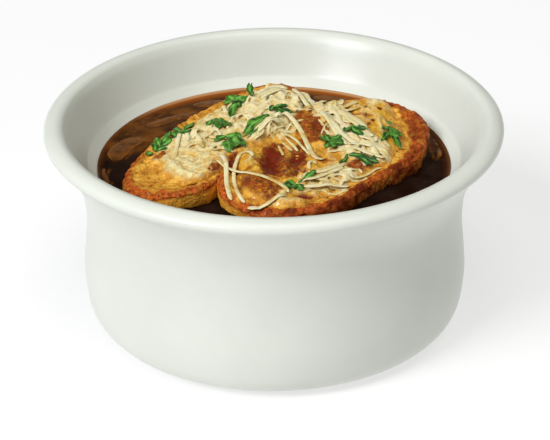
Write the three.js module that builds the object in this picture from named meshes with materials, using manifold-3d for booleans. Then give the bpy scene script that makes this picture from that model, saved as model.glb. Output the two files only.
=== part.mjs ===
// French onion soup in a flared stoneware crock: broth with onion strips, two slices of toasted
// baguette side by side under one sheet of melted cheese, shredded cheese and torn parsley.
// Millimetres, +Z up, origin on the table under the middle of the foot. The long slices run
// from the front left to the back right.

import * as THREE from "three";
import { mergeVertices } from "three/addons/utils/BufferGeometryUtils.js";
import Module from "manifold-3d";

// ---- Driving dimensions ----

const GAP = 0.3; // kept between pieces that touch

const CROCK = {
  rimRadius: 70,
  height: 66,
  footInner: 43.5,
  footOuter: 50.5,
  footHeight: 2,
  footBevel: 1.5,
  lipHeight: 2.5, // half the height of the rolled lip
  lipOut: 4, // from the lip's crest to its outer edge
  lipIn: 2.5, // from the lip's crest to the flare inside
  innerRadius: 53.6,
  floorHeight: 6.2,
  cornerWidth: 16, // of the round corner between the floor and the inner wall
  cornerHeight: 11.8,
};
// The outside of the wall from the foot up to the lip, as [radius, height]: a low belly, a slight
// waist and a wide flare.
const CROCK_OUTSIDE = [
  [CROCK.footOuter, 0],
  [56.8, 2.8],
  [59.2, 8.5],
  [59.8, 15.5],
  [59.1, 25],
  [58.4, 35],
  [59, 43.5],
  [61.3, 50],
  [64.8, 56.4],
  [67.6, 60.6],
];
// The flare inside, from under the lip down to where the wall runs straight.
const CROCK_FLARE_INSIDE = [
  [61.2, 60.4],
  [58.4, 55.1],
  [57, 52.9],
  [54.6, 50.3],
  [CROCK.innerRadius, 48],
];
const TURNED_SEGMENTS = 48;

const SOUP = { level: 49.6, meniscus: 0.5, meniscusWidth: 2.2 };

// Each slice: plan centre, heading of its length in degrees from +X, half length, half width and
// squareness of its outline, height of its top face over the soup, how that face leans along and
// across the slice, and how far its front end droops.
const SLICES = {
  toast_left: {
    centre: [-17.6, 3.7],
    heading: 56,
    halfLength: 41,
    halfWidth: 15.8,
    squareness: 2.35,
    rise: 6.4,
    leanAlong: 0.035,
    leanAcross: -0.03,
    droop: 0,
  },
  toast_right: {
    centre: [16.2, -6.9],
    heading: 50,
    halfLength: 40.5,
    halfWidth: 20.4,
    squareness: 2.45,
    rise: 6.5,
    leanAlong: 0.012,
    leanAcross: 0.085,
    droop: 1.6,
  },
};
const DROOP_START = 0.45; // share of the half length from which a slice's front end droops
const SIDE_FALL = 1.9; // slope of what hangs over the side of a slice
const SLICE_DEPTH = 9; // below the soup level
const CRUST_LIP = 0.9; // the toasted rim stands this much over the crumb
const CRUST_LIP_AT = 0.93; // share of the outline where the rim is highest
const CRUST_LIP_WIDTH = 0.07;
const CRUST_DRAFT = 0.11; // how far the side draws in at its bottom, as a share of the slice
const CRUMB_RELIEF = 0.25;

// The melted cheese: outline in plan, and thickness over the bread.
const CHEESE_CENTRE = [0, -3];
const CHEESE_OUTLINE = [
  [40.4, 3.1],
  [39.3, 12],
  [37.5, 22],
  [32, 26.4],
  [25.5, 25],
  [17.5, 24],
  [9, 30],
  [1.5, 35.2],
  [-6.5, 32.8],
  [-15.4, 26],
  [-25, 16.3],
  [-33, 5.6],
  [-38.3, -6.8],
  [-35.6, -14.5],
  [-31, -22.8],
  [-23.5, -25.5],
  [-15.5, -20.2],
  [-10.6, -22.5],
  [-9, -32],
  [-3, -38.5],
  [5.1, -40.2],
  [11, -36.4],
  [17.3, -29.8],
  [27.3, -19.8],
  [35.3, -10.3],
];
const CHEESE_THICKNESS = 1.5;
const CHEESE_EDGE = 0.8;
const CHEESE_RELIEF = 0.25;
const CHEESE_BRIDGE = 2; // a step of up to this between the slices is bridged
const CHEESE_DIP = 1.6; // where it has left the bread, it hangs this far below the soup level
// Where the cheese blistered up: plan centre, height and radius.
const BLISTERS = [
  { at: [31, 20], height: 1.4, radius: 6 },
  { at: [11.2, 5.5], height: 1.2, radius: 6 },
  { at: [-5.5, -30], height: 0.9, radius: 9 },
];
const CHEESE_BOTTOM = 48.4; // where it hangs over an edge, it reaches down to here
const CHEESE_HEM = 0.6; // height of its edge there

// Low mounds of tangled shreds on the cheese: plan centre, heading, half length, half width.
const MOUNDS = [
  { centre: [-9, 13], heading: 56, halfLength: 21, halfWidth: 12.5, squareness: 2 },
  { centre: [-11, -6], heading: 20, halfLength: 13, halfWidth: 8, squareness: 2 },
  { centre: [9, 19], heading: 0, halfLength: 12, halfWidth: 7, squareness: 2 },
  { centre: [25, 1], heading: -60, halfLength: 19, halfWidth: 9, squareness: 2 },
  { centre: [15, -24], heading: 28, halfLength: 14, halfWidth: 5, squareness: 2 },
];
const MOUND_HEIGHT = 0.65;
const MOUND_RIM = 0.15;
const MOUND_UNDER = 0.5; // between the melted cheese and a mound's underside

const SHRED = { width: 1.5, thickness: 0.9, shortest: 7, longest: 13, bend: 1.9, steps: 3 };
const SHREDS_PER_MOUND = 3;

// Long shreds that can be told apart: their routes in plan.
const STRANDS = [
  [[-6.4, -11.8], [-10.6, -14.4], [-13.2, -20], [-13.6, -26], [-13.3, -31], [-12.9, -33.5]],
  [[-3, -14], [-6.5, -11.5], [-9, -16], [-9.6, -23], [-8.6, -31], [-6.4, -37.5]],
  [[-15, -13], [-12, -19.5], [-6, -24.6], [0.3, -27.4], [3.4, -31], [5.2, -35.7]],
  [[6, -34.2], [2.4, -37], [-1.2, -38.4], [-4.6, -39.8]],
  [[2.2, 11], [6.4, 8.6], [9.8, 3.6], [12, -3], [13.6, -9.6], [16.4, -13], [19.6, -10]],
  [[8, -29], [13, -28], [18, -25], [22.7, -19.6], [21.3, -15]],
  [[14.5, 24], [17.4, 10], [20.5, 0], [24.4, -10], [24.6, -19]],
  [[-29.5, -9.5], [-27.6, -3.6], [-25, -0.6], [-22.8, -4.5]],
];

// Torn parsley: where it lies in plan, its heading, length, width, number of lobes and lean.
const PARSLEY = [
  { at: [-35.2, -1.4], heading: 62, length: 9, width: 4.6, lobes: 3, lean: 0 },
  { at: [-28.8, 7.4], heading: 60, length: 8.6, width: 3.6, lobes: 2, lean: 0 },
  { at: [-17.2, 8], heading: -42, length: 8.4, width: 3.6, lobes: 3, lean: 0 },
  { at: [-12.4, 19.4], heading: 82, length: 13.5, width: 6, lobes: 4, lean: 0 },
  { at: [-7, 28], heading: 100, length: 6, width: 3, lobes: 3, lean: 24 },
  { at: [-13.4, -5], heading: -72, length: 10.6, width: 5.2, lobes: 4, lean: 0 },
  { at: [-5.2, 5], heading: 66, length: 13, width: 4, lobes: 3, lean: 0 },
  { at: [3.2, 14.4], heading: -54, length: 9.4, width: 3.6, lobes: 2, lean: 0 },
  { at: [17.6, -4.6], heading: 20, length: 7, width: 6.2, lobes: 5, lean: 0 },
  { at: [24.8, 2.2], heading: -58, length: 7.4, width: 3.4, lobes: 2, lean: 0 },
  { at: [36.2, 3.4], heading: -70, length: 12, width: 5.6, lobes: 4, lean: 0 },
  { at: [25.6, -12.6], heading: -10, length: 9.6, width: 3.4, lobes: 2, lean: 0 },
  { at: [7.2, -28], heading: 42, length: 10, width: 3.8, lobes: 3, lean: 0 },
];
const LEAF = { thickness: 0.5, wave: 0.3, points: 14, lift: 0.6 };

// Onion strips at the surface: route in plan and width.
const ONIONS = [
  { route: [[-48.4, 1], [-48.6, 8], [-45.4, 14.6], [-40.6, 19.4]], width: 7 },
  { route: [[-41.4, 25.6], [-36, 29.6], [-30.5, 33], [-25, 35.6]], width: 4 },
  { route: [[-27, 41.5], [-20.5, 43.2], [-13, 44.4], [-5.6, 47.4]], width: 4.6 },
  { route: [[46.6, 22.6], [49.6, 16.6], [51.4, 9.6], [51.4, 3]], width: 1.4 },
  { route: [[30.6, -31.4], [36.5, -28.4], [42, -23.6], [46.4, -17.6]], width: 2.4 },
  { route: [[-50.4, -14], [-51.8, -8], [-52, -2]], width: 1.4 },
  { route: [[12, 47.2], [18.5, 46.4], [26, 43.2], [33, 37.6]], width: 3 },
];
const ONION_THICKNESS = 1;
const ONION_RISE = 0.1; // how far its middle lies over the soup level

// ---- Finishes ----

const finish = (color, roughness) =>
  new THREE.MeshStandardMaterial({ color, roughness, metalness: 0 });
const GLAZE = finish("#eef0ea", 0.12);
const BROTH = finish("#3a1c0a", 0.08);
const CRUST = finish("#b5651e", 0.6);
const MELTED = finish("#dfb764", 0.35);
const SHREDDED = finish("#f0e3c0", 0.5);
const HERB = finish("#2f7d33", 0.5);
const ONION = finish("#6b4522", 0.25);

// ---- Solids ----

const wasm = await Module();
wasm.setup();

// A solid for joining and cutting, from a closed geometry.
function solidOf(geometry) {
  const bare = geometry.clone();
  bare.deleteAttribute("normal");
  bare.deleteAttribute("uv");
  const merged = mergeVertices(bare, 1e-4);
  return new wasm.Manifold(
    new wasm.Mesh({
      numProp: 3,
      vertProperties: merged.getAttribute("position").array,
      triVerts: new Uint32Array(merged.getIndex().array),
    }),
  );
}

function geometryOf(solid) {
  const { vertProperties, triVerts } = solid.getMesh();
  const geometry = new THREE.BufferGeometry();
  geometry.setAttribute("position", new THREE.BufferAttribute(vertProperties, 3));
  geometry.setIndex(new THREE.BufferAttribute(triVerts, 1));
  geometry.computeVertexNormals();
  return geometry;
}

// The largest body of a solid, without the scraps that a cut leaves.
function largestBody(solid) {
  const bodies = solid.decompose();
  return bodies.reduce((best, body) => (body.volume() > best.volume() ? body : best));
}

const cutBy = (solid, tools) => tools.reduce((left, tool) => left.subtract(tool), solid);
const joined = (solids) => solids.reduce((all, solid) => all.add(solid));

// A closed geometry through rings with the same number of points, which turn anticlockwise
// about the way from the first ring to the last, closed by a point at each end.
function ringGeometry(first, rings, last) {
  const count = rings[0].length;
  const points = [first, ...rings.flat(), last];
  const at = (ring, i) => 1 + ring * count + (i % count);
  const index = [];
  for (let i = 0; i < count; i++) {
    index.push(0, at(0, i + 1), at(0, i));
    for (let ring = 0; ring + 1 < rings.length; ring++) {
      index.push(at(ring, i), at(ring, i + 1), at(ring + 1, i + 1));
      index.push(at(ring, i), at(ring + 1, i + 1), at(ring + 1, i));
    }
    index.push(at(rings.length - 1, i), at(rings.length - 1, i + 1), points.length - 1);
  }
  const geometry = new THREE.BufferGeometry().setFromPoints(points);
  geometry.setIndex(index);
  geometry.computeVertexNormals();
  return geometry;
}

// A flat strip with square edges along a route, its width level.
function stripGeometry(route, width, thickness, steps) {
  const curve = new THREE.CatmullRomCurve3(route);
  const up = new THREE.Vector3(0, 0, 1);
  const corners = [
    [1, -1],
    [1, 1],
    [-1, 1],
    [-1, -1],
  ];
  const rings = [];
  for (let i = 0; i <= steps; i++) {
    const middle = curve.getPoint(i / steps);
    const along = curve.getTangent(i / steps);
    const across = new THREE.Vector3().crossVectors(up, along).normalize();
    const over = new THREE.Vector3().crossVectors(along, across);
    rings.push(
      corners.map(([side, level]) =>
        middle
          .clone()
          .addScaledVector(across, (side * width) / 2)
          .addScaledVector(over, (level * thickness) / 2),
      ),
    );
  }
  return ringGeometry(curve.getPoint(0), rings, curve.getPoint(1));
}

function mesh(name, geometry, material) {
  const made = new THREE.Mesh(geometry, material.clone());
  made.name = name;
  return made;
}

// Points evenly round a circle, as angles.
const turns = (count) => Array.from({ length: count }, (_, i) => (2 * Math.PI * i) / count);

// A smooth uneven field from -1 to 1 over the plan, its bumps about `size` apart.
function unevenness(x, y, size) {
  const k = (2 * Math.PI) / size;
  const swayX = x + 0.22 * size * Math.sin(0.61 * k * y);
  const swayY = y + 0.19 * size * Math.sin(0.53 * k * x + 1);
  return Math.sin(k * swayX + 0.4) * Math.cos(0.87 * k * swayY);
}

// A repeatable stream of numbers from 0 to 1.
function randomFrom(seed) {
  let state = seed;
  return () => {
    state = (state * 1664525 + 1013904223) % 4294967296;
    return state / 4294967296;
  };
}

// ---- The crock ----

// Points round the upper or lower part of an upright ellipse, from one angle to another.
function ellipsePoints(centre, radii, from, to, steps) {
  const points = [];
  for (let i = 0; i <= steps; i++) {
    const angle = THREE.MathUtils.degToRad(from + ((to - from) * i) / steps);
    points.push([centre[0] + radii[0] * Math.cos(angle), centre[1] + radii[1] * Math.sin(angle)]);
  }
  return points;
}

function innerProfile() {
  const { innerRadius, floorHeight, cornerWidth, cornerHeight } = CROCK;
  const cornerCentre = [innerRadius - cornerWidth, floorHeight + cornerHeight];
  return [
    ...CROCK_FLARE_INSIDE,
    ...ellipsePoints(cornerCentre, [cornerWidth, cornerHeight], 0, -90, 3),
    [0, floorHeight],
  ];
}

// A solid turned about the Z axis from its profile as [radius, height].
function turned(profile) {
  const points = profile.map(([r, z]) => new THREE.Vector2(r, z));
  const geometry = new THREE.LatheGeometry(points, TURNED_SEGMENTS);
  return geometry.rotateX(Math.PI / 2);
}

function crockGeometry() {
  const crest = CROCK.rimRadius - CROCK.lipOut;
  const lipMiddle = CROCK.height - CROCK.lipHeight;
  return turned([
    [0, CROCK.footHeight],
    [CROCK.footInner - CROCK.footBevel, CROCK.footHeight],
    [CROCK.footInner, 0],
    ...CROCK_OUTSIDE,
    ...ellipsePoints([crest, lipMiddle], [CROCK.lipOut, CROCK.lipHeight], -30, 90, 4),
    ...ellipsePoints([crest, lipMiddle], [CROCK.lipIn, CROCK.lipHeight], 120, 180, 2),
    ...innerProfile(),
  ]);
}

// ---- The toast ----

// A plan place in a slice's own directions: along its length and across it.
function inSlice(slice, x, y) {
  const heading = THREE.MathUtils.degToRad(slice.heading);
  const dx = x - slice.centre[0];
  const dy = y - slice.centre[1];
  return [
    dx * Math.cos(heading) + dy * Math.sin(heading),
    dy * Math.cos(heading) - dx * Math.sin(heading),
  ];
}

function fromSlice(slice, along, across) {
  const heading = THREE.MathUtils.degToRad(slice.heading);
  return [
    slice.centre[0] + along * Math.cos(heading) - across * Math.sin(heading),
    slice.centre[1] + along * Math.sin(heading) + across * Math.cos(heading),
  ];
}

// 0 in the middle of a slice and 1 on its outline.
function shareOfSlice(slice, x, y) {
  const [along, across] = inSlice(slice, x, y);
  const n = slice.squareness;
  const a = Math.abs(along / slice.halfLength) ** n;
  const b = Math.abs(across / slice.halfWidth) ** n;
  return (a + b) ** (1 / n);
}

// The lean of a slice's top face, carried on past its outline.
function sliceFace(slice, x, y) {
  const [along, across] = inSlice(slice, x, y);
  const frontEnd = -along / slice.halfLength - DROOP_START;
  const drooped = THREE.MathUtils.clamp(frontEnd / (1 - DROOP_START), 0, 1.2);
  return (
    SOUP.level +
    slice.rise +
    slice.leanAlong * along +
    slice.leanAcross * across -
    slice.droop * drooped ** 2
  );
}

// The toasted rim: a rounded ridge just inside the outline.
const ridge = (share) => CRUST_LIP * Math.exp(-(((share - CRUST_LIP_AT) / CRUST_LIP_WIDTH) ** 2));

// Height of what lies on a slice: the top face, and a steep fall outside its outline.
function carriedHeight(slice, x, y) {
  const share = shareOfSlice(slice, x, y);
  const fall = SIDE_FALL * Math.max(0, share - 1.001) * slice.halfWidth;
  return sliceFace(slice, x, y) + ridge(share) - fall;
}

const crumb = (x, y) => 0.6 * unevenness(x, y, 9) + 0.4 * unevenness(y, x, 4.7);

// The rings of a slice: on its top face as shares of the outline, from the edge inwards, and on
// its side from the bottom up as [share of the outline, share of the height].
const SLICE_ANGLES = turns(42);
const SLICE_RINGS = {
  top: [1, 0.93, 0.84, 0.66, 0.44, 0.22],
  side: [
    [1 - CRUST_DRAFT, 0],
    [1 - 0.9 * CRUST_DRAFT, 0.15],
    [1 - 0.62 * CRUST_DRAFT, 0.55],
    [1 - 0.3 * CRUST_DRAFT, 0.8],
    [1 - 0.05 * CRUST_DRAFT, 0.94],
  ],
  relief: CRUMB_RELIEF,
  grow: 0,
};
// The room that neighbours leave round a slice: smooth, and clear of the crumb's relief.
const SLICE_ROOM_RINGS = {
  top: [1, 0.93, 0.84, 0.5],
  side: [
    [1 - 0.85 * CRUST_DRAFT, 0],
    [1 - 0.5 * CRUST_DRAFT, 0.55],
    [1.004, 0.9],
  ],
  relief: 0,
  grow: GAP + 1.2 * CRUMB_RELIEF,
};

function sliceGeometry(slice, { top, side, relief, grow }) {
  // A place at a share of the outline, moved outwards by an offset.
  const place = (angle, share, offset = 0) => {
    const bow = (value) => Math.sign(value) * Math.abs(value) ** (2 / slice.squareness);
    const along = bow(Math.cos(angle)) * slice.halfLength * share;
    const across = bow(Math.sin(angle)) * slice.halfWidth * share;
    const out = 1 + offset / Math.hypot(along, across);
    return fromSlice(slice, along * out, across * out);
  };
  const surface = ([x, y]) => carriedHeight(slice, x, y) + relief * crumb(x, y) + grow;
  const bottom = SOUP.level - SLICE_DEPTH - grow;
  const sideRings = side.map(([share, height]) =>
    SLICE_ANGLES.map((angle) => {
      const rough = relief * crumb(...place(angle, 1 + height)) * Math.sin(Math.PI * height);
      const [x, y] = place(angle, share, grow + rough);
      const edge = surface(place(angle, 1));
      return new THREE.Vector3(x, y, bottom + (edge - bottom) * height);
    }),
  );
  const topRings = top.map((share) =>
    SLICE_ANGLES.map((angle) => {
      const height = surface(place(angle, share));
      return new THREE.Vector3(...place(angle, share, grow), height);
    }),
  );
  const [x, y] = slice.centre;
  return ringGeometry(
    new THREE.Vector3(x, y, bottom),
    [...sideRings, ...topRings],
    new THREE.Vector3(x, y, surface(slice.centre)),
  );
}

// ---- The melted cheese ----

const cheeseOutline = new THREE.CatmullRomCurve3(
  CHEESE_OUTLINE.map(([x, y]) => new THREE.Vector3(x, y, 0)),
  true,
).getPoints(4 * CHEESE_OUTLINE.length);

// How far the cheese reaches from its centre towards an angle.
function cheeseReach(angle) {
  const [cx, cy] = CHEESE_CENTRE;
  const ux = Math.cos(angle);
  const uy = Math.sin(angle);
  let reach = 0;
  for (let i = 0; i + 1 < cheeseOutline.length; i++) {
    const ax = cheeseOutline[i].x - cx;
    const ay = cheeseOutline[i].y - cy;
    const bx = cheeseOutline[i + 1].x - cx;
    const by = cheeseOutline[i + 1].y - cy;
    const before = ux * ay - uy * ax;
    const after = ux * by - uy * bx;
    if (before * after > 0 || before === after) continue;
    const t = before / (before - after);
    reach = Math.max(reach, ux * (ax + t * (bx - ax)) + uy * (ay + t * (by - ay)));
  }
  return reach;
}

// What the cheese lies on: the two slices, with the step between them bridged, and the broth.
function bedHeight(x, y) {
  const [left, right] = Object.values(SLICES).map((slice) => carriedHeight(slice, x, y));
  const blend = Math.max(0, 1 - Math.abs(left - right) / CHEESE_BRIDGE);
  const bridged = Math.max(left, right) + (CHEESE_BRIDGE / 4) * blend ** 2;
  return Math.max(bridged, SOUP.level - CHEESE_DIP);
}

// Thickness of the cheese at a share of its reach: round-edged and blistered.
function cheeseThickness(x, y, share) {
  const rounded = Math.sqrt(Math.max(0, 1 - share ** 8));
  let swell = CHEESE_RELIEF * unevenness(x, y, 9);
  for (const { at, height, radius } of BLISTERS) {
    swell += height * Math.exp(-(((x - at[0]) ** 2 + (y - at[1]) ** 2) / radius ** 2));
  }
  return CHEESE_EDGE + (CHEESE_THICKNESS - CHEESE_EDGE + swell) * rounded;
}

// The rings of the cheese's top, from its edge inwards, as shares of its reach.
const CHEESE_SHARES = [1, 0.95, 0.85, 0.68, 0.46, 0.23, 0];
const CHEESE_ANGLES = turns(50);

function cheesePoint(angle, share, grow) {
  const reach = (cheeseReach(angle) + grow) * share;
  const x = CHEESE_CENTRE[0] + reach * Math.cos(angle);
  const y = CHEESE_CENTRE[1] + reach * Math.sin(angle);
  const z = bedHeight(x, y) + cheeseThickness(x, y, share) + grow;
  return new THREE.Vector3(x, y, Math.max(z, CHEESE_BOTTOM + CHEESE_HEM));
}

function cheeseGeometry(grow = 0) {
  const rings = CHEESE_SHARES.map((share) =>
    CHEESE_ANGLES.map((angle) => cheesePoint(angle, share, grow)),
  );
  const middle = rings.pop()[0];
  const bottom = CHEESE_BOTTOM - grow;
  const skirt = rings[0].map((p) => new THREE.Vector3(p.x, p.y, bottom));
  return ringGeometry(new THREE.Vector3(middle.x, middle.y, bottom), [skirt, ...rings], middle);
}

// Heights of the cheese's own rings, which the shreds and the parsley lie on.
const cheeseTops = CHEESE_SHARES.map((share) =>
  CHEESE_ANGLES.map((angle) => cheesePoint(angle, share, 0).z),
);
const cheeseReaches = CHEESE_ANGLES.map(cheeseReach);

// A plan place on the cheese's rings: how to read a ring there, and its share of the reach.
function onCheese(x, y) {
  const dx = x - CHEESE_CENTRE[0];
  const dy = y - CHEESE_CENTRE[1];
  const count = CHEESE_ANGLES.length;
  const turn = ((Math.atan2(dy, dx) / (2 * Math.PI) + 1) * count) % count;
  const i = Math.floor(turn);
  const between = (ring) => THREE.MathUtils.lerp(ring[i], ring[(i + 1) % count], turn - i);
  return { between, share: Math.hypot(dx, dy) / between(cheeseReaches) };
}

// Height of the melted cheese's top, or of the bed where there is none.
function cheeseHeight(x, y) {
  const { between, share } = onCheese(x, y);
  if (share >= 1) return bedHeight(x, y);
  const inner = CHEESE_SHARES.findIndex((ringShare) => ringShare <= share);
  const [high, low] = [CHEESE_SHARES[inner - 1], CHEESE_SHARES[inner]];
  const inwards = (high - share) / (high - low);
  return THREE.MathUtils.lerp(between(cheeseTops[inner - 1]), between(cheeseTops[inner]), inwards);
}

// ---- The shredded cheese ----

function moundHeight(x, y) {
  const share = Math.min(...MOUNDS.map((mound) => shareOfSlice(mound, x, y)));
  const lumps = 1 + 0.2 * unevenness(x, y, 11);
  const mound = MOUND_UNDER + MOUND_RIM + MOUND_HEIGHT * lumps * (1 - share ** 3);
  return cheeseHeight(x, y) + (share < 1 ? mound : 0);
}

// Height of the middle of a shred: half sunk in a mound, or just clear of the melted cheese.
function shredHeight(x, y) {
  const clear = GAP + SHRED.thickness / 2 + 0.1;
  return Math.max(moundHeight(x, y) + 0.1, cheeseHeight(x, y) + clear);
}

function moundGeometry(mound) {
  const angles = turns(10);
  const ring = (share, height) =>
    angles.map((angle) => {
      const along = mound.halfLength * share * Math.cos(angle);
      const across = mound.halfWidth * share * Math.sin(angle);
      const [x, y] = fromSlice(mound, along, across);
      return new THREE.Vector3(x, y, height(x, y));
    });
  const under = (x, y) => cheeseHeight(x, y) + MOUND_UNDER;
  const [cx, cy] = mound.centre;
  return ringGeometry(
    new THREE.Vector3(cx, cy, under(cx, cy)),
    [ring(0.55, under), ring(1, under), ring(0.98, moundHeight), ring(0.55, moundHeight)],
    new THREE.Vector3(cx, cy, moundHeight(cx, cy)),
  );
}

// A strip of cheese along a route in plan, laid on whatever is under it.
function shredGeometry(route, grow = 0) {
  const laid = route.map(([x, y]) => new THREE.Vector3(x, y, shredHeight(x, y)));
  const width = SHRED.width + 2 * grow;
  return stripGeometry(laid, width, SHRED.thickness + 2 * grow, route.length - 1);
}

// Shreds spread evenly over a mound by the golden angle, each with its own length and bend.
function shredsOn(mound, random) {
  const shreds = [];
  for (let i = 0; i < SHREDS_PER_MOUND; i++) {
    const share = 0.85 * Math.sqrt((i + 0.5) / SHREDS_PER_MOUND);
    const around = i * Math.PI * (3 - Math.sqrt(5));
    const start = fromSlice(
      mound,
      mound.halfLength * share * Math.cos(around),
      mound.halfWidth * share * Math.sin(around),
    );
    const length = SHRED.shortest + (SHRED.longest - SHRED.shortest) * random();
    const bend = SHRED.bend * (random() - 0.5);
    const heading = Math.PI * 2 * random();
    const route = [start];
    for (let step = 0; step < SHRED.steps; step++) {
      const angle = heading + (bend * step) / SHRED.steps;
      const x = route.at(-1)[0] + (length / SHRED.steps) * Math.cos(angle);
      const y = route.at(-1)[1] + (length / SHRED.steps) * Math.sin(angle);
      if (onCheese(x, y).share > 0.96) break;
      route.push([x, y]);
    }
    if (route.length > 2) shreds.push(shredGeometry(route));
  }
  return shreds;
}

function shreddedGeometries() {
  const random = randomFrom(7);
  return [
    ...MOUNDS.map(moundGeometry),
    ...MOUNDS.flatMap((mound) => shredsOn(mound, random)),
    ...STRANDS.map((route) => shredGeometry(route)),
  ];
}

// ---- Parsley ----

// A torn leaf lying flat in its own frame, pointing along +X: lobed outline and wavy faces.
function leafGeometry({ length, width, lobes }) {
  const half = LEAF.thickness / 2;
  const face = (level) =>
    turns(LEAF.points).map((angle) => {
      const frill = 1 + 0.26 * Math.cos(lobes * angle) + 0.1 * Math.cos((2 * lobes + 1) * angle);
      const x = (length / 2) * frill * Math.cos(angle);
      const y = (width / 2) * frill * Math.sin(angle);
      const wave = LEAF.wave * Math.sin((2.4 * Math.PI * x) / length) * Math.cos(angle * 2);
      return new THREE.Vector3(x, y, wave + level);
    });
  return ringGeometry(
    new THREE.Vector3(0, 0, -half),
    [face(-half), face(half)],
    new THREE.Vector3(0, 0, half),
  );
}

// The room that the cheese leaves for a leaf: a plain disc round its lobes.
function leafRoomGeometry({ length, width }) {
  const half = LEAF.thickness / 2 + LEAF.wave + GAP;
  const lobe = 1.4;
  const face = (level) =>
    turns(8).map((angle) => {
      const x = ((lobe * length) / 2) * Math.cos(angle);
      const y = ((lobe * width) / 2) * Math.sin(angle);
      return new THREE.Vector3(x, y, level);
    });
  return ringGeometry(
    new THREE.Vector3(0, 0, -half),
    [face(-half), face(half)],
    new THREE.Vector3(0, 0, half),
  );
}

// Lays a leaf on the heap: square to the ground that carries it, then turned and leaned.
function parsleyMesh(leaf, name) {
  const [x, y] = leaf.at;
  const step = 0.35 * leaf.length;
  const slopeX = (moundHeight(x + step, y) - moundHeight(x - step, y)) / (2 * step);
  const slopeY = (moundHeight(x, y + step) - moundHeight(x, y - step)) / (2 * step);
  const normal = new THREE.Vector3(-slopeX, -slopeY, 1).normalize();
  const made = mesh(name, leafGeometry(leaf), HERB);
  made.position.set(x, y, shredHeight(x, y) + LEAF.lift);
  made.quaternion.setFromUnitVectors(new THREE.Vector3(0, 0, 1), normal);
  made.rotateZ(THREE.MathUtils.degToRad(leaf.heading));
  made.rotateY(THREE.MathUtils.degToRad(-leaf.lean));
  made.updateMatrixWorld();
  return made;
}

const numbered = (name, i) => `${name}_${String(i + 1).padStart(2, "0")}`;
const parsley = PARSLEY.map((leaf, i) => parsleyMesh(leaf, numbered("parsley", i)));
const parsleyRoom = PARSLEY.map((leaf, i) =>
  solidOf(leafRoomGeometry(leaf).applyMatrix4(parsley[i].matrixWorld)),
);

// ---- Onion strips ----

function onionGeometry({ route, width }, grow = 0) {
  const points = route.map(([x, y], i) => {
    const dip = i === 0 || i === route.length - 1 ? 0.5 : 0;
    return new THREE.Vector3(x, y, SOUP.level + ONION_RISE - dip);
  });
  return stripGeometry(points, width + 2 * grow, ONION_THICKNESS + 2 * grow, 5);
}

// ---- Cutting each piece round its neighbours ----

const sliceRoom = Object.values(SLICES).map((slice) =>
  solidOf(sliceGeometry(slice, SLICE_ROOM_RINGS)),
);
const toastRight = solidOf(sliceGeometry(SLICES.toast_right, SLICE_RINGS));
const toastLeft = largestBody(
  solidOf(sliceGeometry(SLICES.toast_left, SLICE_RINGS)).subtract(sliceRoom[1]),
);

const cheese = largestBody(
  cutBy(solidOf(cheeseGeometry()), [...sliceRoom, ...parsleyRoom]),
);
const cheeseRoom = solidOf(cheeseGeometry(GAP));
const shredded = largestBody(
  cutBy(joined(shreddedGeometries().map(solidOf)), [...sliceRoom, cheeseRoom, ...parsleyRoom]),
);

function soupGeometry() {
  const below = innerProfile().filter(([, z]) => z < SOUP.level / 2);
  const wall = below.reverse().map(([r, z]) => [Math.max(0, r - GAP), z + GAP]);
  const edge = CROCK.innerRadius - GAP;
  const level = SOUP.level;
  return turned([
    ...wall,
    [edge, level + SOUP.meniscus],
    [edge - 0.4 * SOUP.meniscusWidth, level + 0.3 * SOUP.meniscus],
    [edge - SOUP.meniscusWidth, level],
    [0, level],
  ]);
}

const shredRoom = STRANDS.map((route) => solidOf(shredGeometry(route, GAP)));
const onionRoom = ONIONS.map((onion) => solidOf(onionGeometry(onion, GAP)));
const soup = largestBody(
  cutBy(solidOf(soupGeometry()), [...sliceRoom, cheeseRoom, ...shredRoom, ...onionRoom]),
);

// ---- The whole dish ----

const dish = new THREE.Group();
dish.add(mesh("bowl", crockGeometry(), GLAZE));
dish.add(mesh("soup", geometryOf(soup), BROTH));
ONIONS.forEach((onion, i) => {
  dish.add(mesh(numbered("onion", i), onionGeometry(onion), ONION));
});
const topping = new THREE.Group();
topping.add(mesh("toast_left", geometryOf(toastLeft), CRUST));
topping.add(mesh("toast_right", geometryOf(toastRight), CRUST));
topping.add(mesh("melted_cheese", geometryOf(cheese), MELTED));
topping.add(mesh("shredded_cheese", geometryOf(shredded), SHREDDED));
topping.add(...parsley);
dish.add(topping);

export default dish;
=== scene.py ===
"""French onion soup in a flared crock, laid out as a Blender add-on.

Each operator models one piece, or one group of like pieces, round the fixed frame: the crock, the
broth, the onions, the two toasts, the melted cheese, the shredded cheese and the parsley. Places on
the dish are in millimetres along the frame's own axes, and finished meshes are in metres.
"""

import itertools
import math
import random
from contextlib import contextmanager
from dataclasses import dataclass

import bpy
import numpy as np
from bpy.props import FloatProperty, FloatVectorProperty, IntProperty, PointerProperty
from mathutils import Matrix, Vector
from mathutils.bvhtree import BVHTree


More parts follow.
